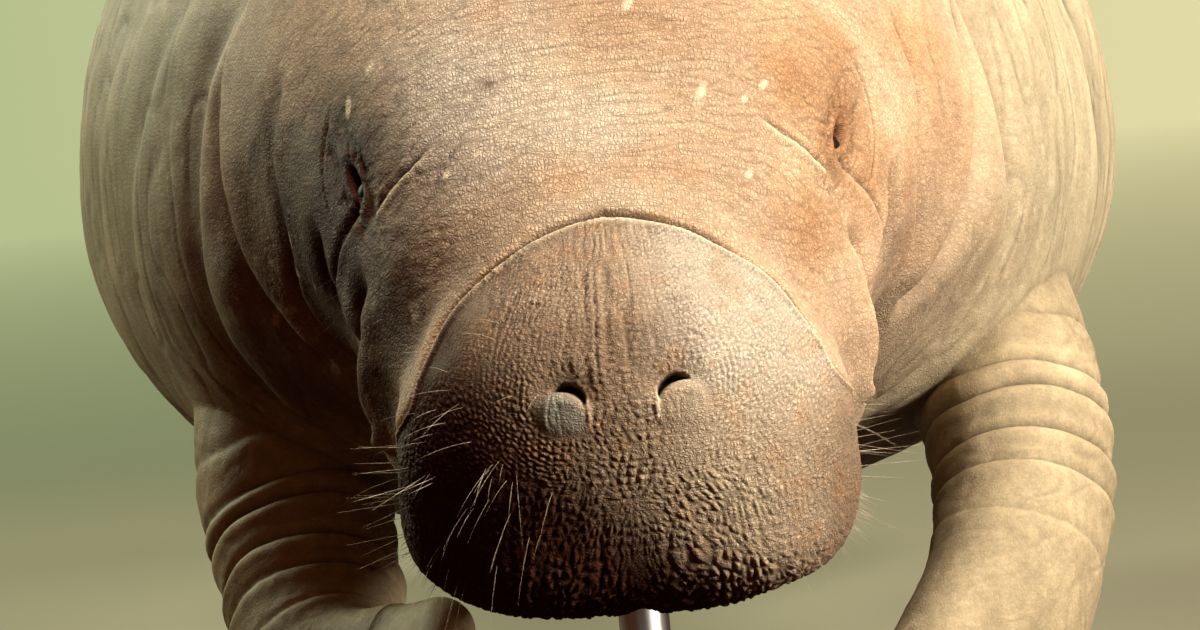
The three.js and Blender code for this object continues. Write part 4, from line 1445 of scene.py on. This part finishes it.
def add_whiskers(material):
    grids, places = [], []
    for band in HAIR_BANDS:
        along, turn = hair_roots(band)
        grids.append(tube_grid(hair_paths(band, along, turn), band["radius"]))
        places.append(np.stack([along / LENGTH, turn / (2 * np.pi) + 0.5], axis=-1))
    grid, place = np.concatenate(grids), np.concatenate(places)
    hairs, rows, around = grid.shape[:3]
    index = np.arange(hairs * rows * around).reshape(hairs, rows, around)
    beside = np.roll(index, -1, axis=2)
    quads = np.stack([index[:, :-1], beside[:, :-1], beside[:, 1:], index[:, 1:]], axis=-1)
    whiskers = mesh_object("whiskers", grid.reshape(-1, 3) * MM, [quads.reshape(-1, 4)])
    map_hairs(whiskers, place, rows, around)
    dress(whiskers, material, "skin")


def map_hairs(whiskers, place, rows, around):
    """The bake map: each hair is a small patch at its root's place on an unwrap of the body."""
    row, corner = np.meshgrid(np.arange(rows - 1), np.arange(around), indexing="ij")
    corners = np.stack([
        np.stack([corner, row], -1),
        np.stack([corner + 1, row], -1),
        np.stack([corner + 1, row + 1], -1),
        np.stack([corner, row + 1], -1),
    ], axis=2) / np.array([around, rows - 1])
    uv = place[:, None, None, None] + (corners[None] - 0.5) * HAIR_PATCH
    layer = whiskers.data.uv_layers.new(name="OFBake")
    layer.uv.foreach_set("vector", uv.reshape(-1).astype(np.float32))


# Stand


ROD_RADIUS = 20
ROD_BURIED = 6
FLANGE_EDGE = [(-1, 0), (0, 1), (0, 5.4), (-1.5, 8), (-5, 9)]  # out from the flange's rim, up from its foot
COLLAR = [(27, 9.2), (23, 10.5), (20.8, 13.5), (ROD_RADIUS, 17)]  # radius, up from the foot
SCREW_HEAD = [(0, 0), (6.5, 0), (6.5, 1.6), (5.4, 3.0), (3.4, 3.7), (3.0, 2.4), (0, 2.4)]
SCREW_INSET = 18
SCREW_SEAT = 8.6
BASE_CORNER = 60
BASE_EDGE = 5
BASE_FOOT = 1.2
CRISP_ANGLE = 40


def lathe_object(name, profile, sides, centre):
    """A turned piece from (radius, height) pairs, the first and last of which lie on its axis."""
    profile = np.array(profile, float)
    angle = np.arange(sides) / sides * 2 * np.pi
    ring = np.stack([np.cos(angle), np.sin(angle), np.zeros(sides)], axis=-1)
    heights = np.stack([np.zeros(len(profile)), np.zeros(len(profile)), profile[:, 1]], axis=-1)
    rings = ring[None] * profile[:, :1, None] + heights[:, None] + centre
    return grid_mesh(name, rings[1:-1], heights[0] + centre, heights[-1] + centre)


def add_rod(end, material):
    low, high = (np.array(corner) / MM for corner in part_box("stand_rod_" + end))
    middle, flange = (low[:2] + high[:2]) / 2, (high[0] - low[0]) / 2
    foot, top = low[2], high[2] + ROD_BURIED
    profile = [(0, foot)]
    profile += [(flange + out, foot + up) for out, up in FLANGE_EDGE]
    profile += [(radius, foot + up) for radius, up in COLLAR]
    profile += [(ROD_RADIUS, top - 1), (ROD_RADIUS - 0.4, top), (0, top)]
    rod = lathe_object("rod_" + end, profile, 64, np.array([*middle, 0]))
    bevel_shading(rod)
    dress(rod, material, "stand_rod", "stand_rod_" + end)
    for number, angle in enumerate(np.radians([45, 135, 225, 315])):
        place = middle + (flange - SCREW_INSET) * np.array([np.cos(angle), np.sin(angle)])
        seat = np.array([*place, foot + SCREW_SEAT])
        screw = lathe_object(f"screw_{end}_{number + 1}", SCREW_HEAD, 24, seat)
        bevel_shading(screw)
        dress(screw, material, "stand_rod")


def bevel_shading(obj):
    obj.data.set_sharp_from_angle(angle=math.radians(CRISP_ANGLE))


def add_base(material):
    """A flat base with rounded corners and a rounded upper edge."""
    low, high = (np.array(corner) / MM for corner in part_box("stand_base"))
    half = (high - low)[:2] / 2
    edge = high[2] - BASE_EDGE
    profile = [(BASE_EDGE, 0), (0, BASE_FOOT), (0, edge)]
    for angle in np.radians([70, 45, 20, 0]):
        profile.append((BASE_EDGE * (1 - math.sin(angle)), edge + BASE_EDGE * math.cos(angle)))
    rings = np.array([rounded_rectangle(half, BASE_CORNER, inset, z) for inset, z in profile])
    base = grid_mesh("plinth", rings, np.array([0, 0, 0]), np.array([0, 0, profile[-1][1]]))
    bevel_shading(base)
    dress(base, material, "stand_base", "stand_base")


def rounded_rectangle(half, corner, inset, z):
    radius = corner - inset
    ring = []
    for quarter, (sx, sy) in enumerate([(1, 1), (-1, 1), (-1, -1), (1, -1)]):
        middle = sx * (half[0] - corner), sy * (half[1] - corner)
        for angle in np.radians(np.linspace(0, 90, 13)) + quarter * math.pi / 2:
            ring.append((middle[0] + radius * math.cos(angle), middle[1] + radius * math.sin(angle), z))
    return ring


# Floor, light and camera, in metres

FLOOR = (0.21, 0.20, 0.125)
FLOOR_RADIUS = 60
FLOOR_PLACE = (0, 0, -0.0005)
FLOOR_FADE = {"From Min": 1.4, "From Max": 5.0}
FLOOR_GLOW = {"from_low": 3, "from_high": 20, "low": 0.42, "high": 1}
BACKDROPS = [(0.47, 0.53, 0.27), (0.76, 0.70, 0.38)]  # on the left and on the right
BACKDROP_EDGES = (-0.16, 0.16)
AMBIENT = (0.13, 0.045, 0.018)
AMBIENT_SLOPE = {"From Min": -0.6, "From Max": 0.8, "To Min": 0.25, "To Max": 1.0}
LIGHT_KEYS = ("name", "place", "aim", "size", "watts", "colour")
LIGHTS = [dict(zip(LIGHT_KEYS, light)) for light in [
    ("key", (4.7, -3.6, 2.6), (0.1, -0.9, 0.5), 1.4, 770, (1.0, 0.92, 0.79)),
    ("rim", (-4.6, 4.4, 3.2), (-0.3, -0.2, 0.6), 2.0, 430, (0.92, 1.0, 0.72)),
    ("top", (0.9, -1.3, 4.8), (0, -0.8, 0.6), 2.0, 240, (1.0, 0.95, 0.86)),
]]
CAMERA = {"place": (0, -3.2919, 0.6528), "degrees": (86.39, 5.789, -0.171), "lens": 118.14, "sensor": 36}


def backdrop_colour(m):
    """The backdrop's colour by how far to the right of the stand a point lies."""
    direction = m.add("VectorMath", operation="NORMALIZE")
    m.join(m.coordinates(), direction.inputs[0])
    split = m.add("SeparateXYZ")
    m.join(direction.outputs["Vector"], split.inputs[0])
    return m.ramp(m.spread(split.outputs["X"], 0, 1, *BACKDROP_EDGES), list(enumerate(BACKDROPS)))


def floor_material():
    """A pale floor that runs into the backdrop's colour far from the stand, as a glow that grows brighter
    farther out: painted light.
    """
    m = Nodes("floor")
    shades = [(0.3, tuple(c * 0.97 for c in FLOOR)), (0.7, FLOOR)]
    m.feed("Base Color", m.ramp(m.noise(1.2, 4), shades))
    m.shader.inputs["Roughness"].default_value = 0.9
    length = m.add("VectorMath", operation="LENGTH")
    m.join(m.coordinates(), length.inputs[0])
    far = m.add("Emission")
    m.join(backdrop_colour(m), far.inputs["Color"])
    m.join(m.spread(length.outputs["Value"], **FLOOR_GLOW), far.inputs["Strength"])
    share = m.add("MapRange", FLOOR_FADE, interpolation_type="SMOOTHSTEP")
    m.join(length.outputs["Value"], share.inputs["Value"])
    blend = m.add("MixShader")
    m.join(share.outputs["Result"], blend.inputs["Fac"])
    m.join(m.shader.outputs[0], blend.inputs[1])
    m.join(far.outputs[0], blend.inputs[2])
    m.join(blend.outputs[0], m.tree.nodes["Material Output"].inputs["Surface"])
    return m.material


def add_floor():
    """The floor doesn't throw its light back on the model, as the sea doesn't."""
    size = {"vertices": 96, "radius": FLOOR_RADIUS}
    bpy.ops.mesh.primitive_circle_add(fill_type="NGON", location=FLOOR_PLACE, **size)
    floor = bpy.context.object
    floor.name = "floor"
    floor.visible_diffuse = False
    floor.visible_glossy = False
    floor.data.materials.append(floor_material())


def add_backdrop():
    """A far dome that shows a colour but gives no light."""
    rings = ball_rings(48, 96) * (FLOOR_RADIUS - 1) / MM
    pole = np.array([0, 0, (FLOOR_RADIUS - 1) / MM])
    dome = grid_mesh("backdrop", rings, pole, -pole)
    m = Nodes("backdrop")
    glow = m.add("Emission")
    m.join(backdrop_colour(m), glow.inputs["Color"])
    m.join(glow.outputs[0], m.tree.nodes["Material Output"].inputs["Surface"])
    dome.data.materials.append(m.material)
    for kind in ("visible_diffuse", "visible_glossy", "visible_transmission", "visible_shadow"):
        setattr(dome, kind, False)


def add_world():
    """Dim warm light from all round, less of it from below."""
    world = bpy.data.worlds.new("studio")
    world.use_nodes = True
    tree = world.node_tree
    place = tree.nodes.new("ShaderNodeTexCoord")
    split = tree.nodes.new("ShaderNodeSeparateXYZ")
    level = tree.nodes.new("ShaderNodeMapRange")
    for key, value in AMBIENT_SLOPE.items():
        level.inputs[key].default_value = value
    tree.links.new(place.outputs["Generated"], split.inputs[0])
    tree.links.new(split.outputs["Z"], level.inputs["Value"])
    tree.links.new(level.outputs["Result"], tree.nodes["Background"].inputs["Strength"])
    tree.nodes["Background"].inputs["Color"].default_value = (*AMBIENT, 1)
    bpy.context.scene.world = world


def add_light(name, place, aim, size, watts, colour):
    light = bpy.data.lights.new(name, "AREA")
    light.size = size
    light.energy = watts
    light.color = colour
    made = bpy.data.objects.new(name, light)
    made.location = place
    made.rotation_euler = (Vector(aim) - Vector(place)).to_track_quat("-Z", "Y").to_euler()
    bpy.context.collection.objects.link(made)


def add_camera():
    camera = bpy.data.cameras.new("camera")
    camera.sensor_width = CAMERA["sensor"]
    camera.lens = CAMERA["lens"]
    made = bpy.data.objects.new("camera", camera)
    made.location = CAMERA["place"]
    made.rotation_euler = [math.radians(angle) for angle in CAMERA["degrees"]]
    bpy.context.collection.objects.link(made)
    bpy.context.scene.camera = made


# Assembly

TRUNK_NODES = ["muzzle", "lower_jaw", "head", "neck", "chest", "belly", "loins", "tail_stock", "tail_paddle"]
LIMB_NODES = [f"flipper_{side}_{part}" for side in ("left", "right") for part in ("arm", "hand")]

skin, flipper_share = build_skin()
colour_skin(skin, flipper_share)
dress(skin, hide_material(), "skin", *TRUNK_NODES, *LIMB_NODES)

dark_eye = eye_material()
horn = nail_material()
for side in FLIPPERS:
    add_eye(side, dark_eye)
    for number in range(len(NAILS)):
        add_nail(side, number, horn)
add_whiskers(whisker_material())

steel = rod_material()
add_rod("front", steel)
add_rod("rear", steel)
add_base(base_material())

add_floor()
add_backdrop()
add_world()
for light in LIGHTS:
    add_light(**light)
add_camera()
bpy.context.scene.view_settings.view_transform = "Standard"
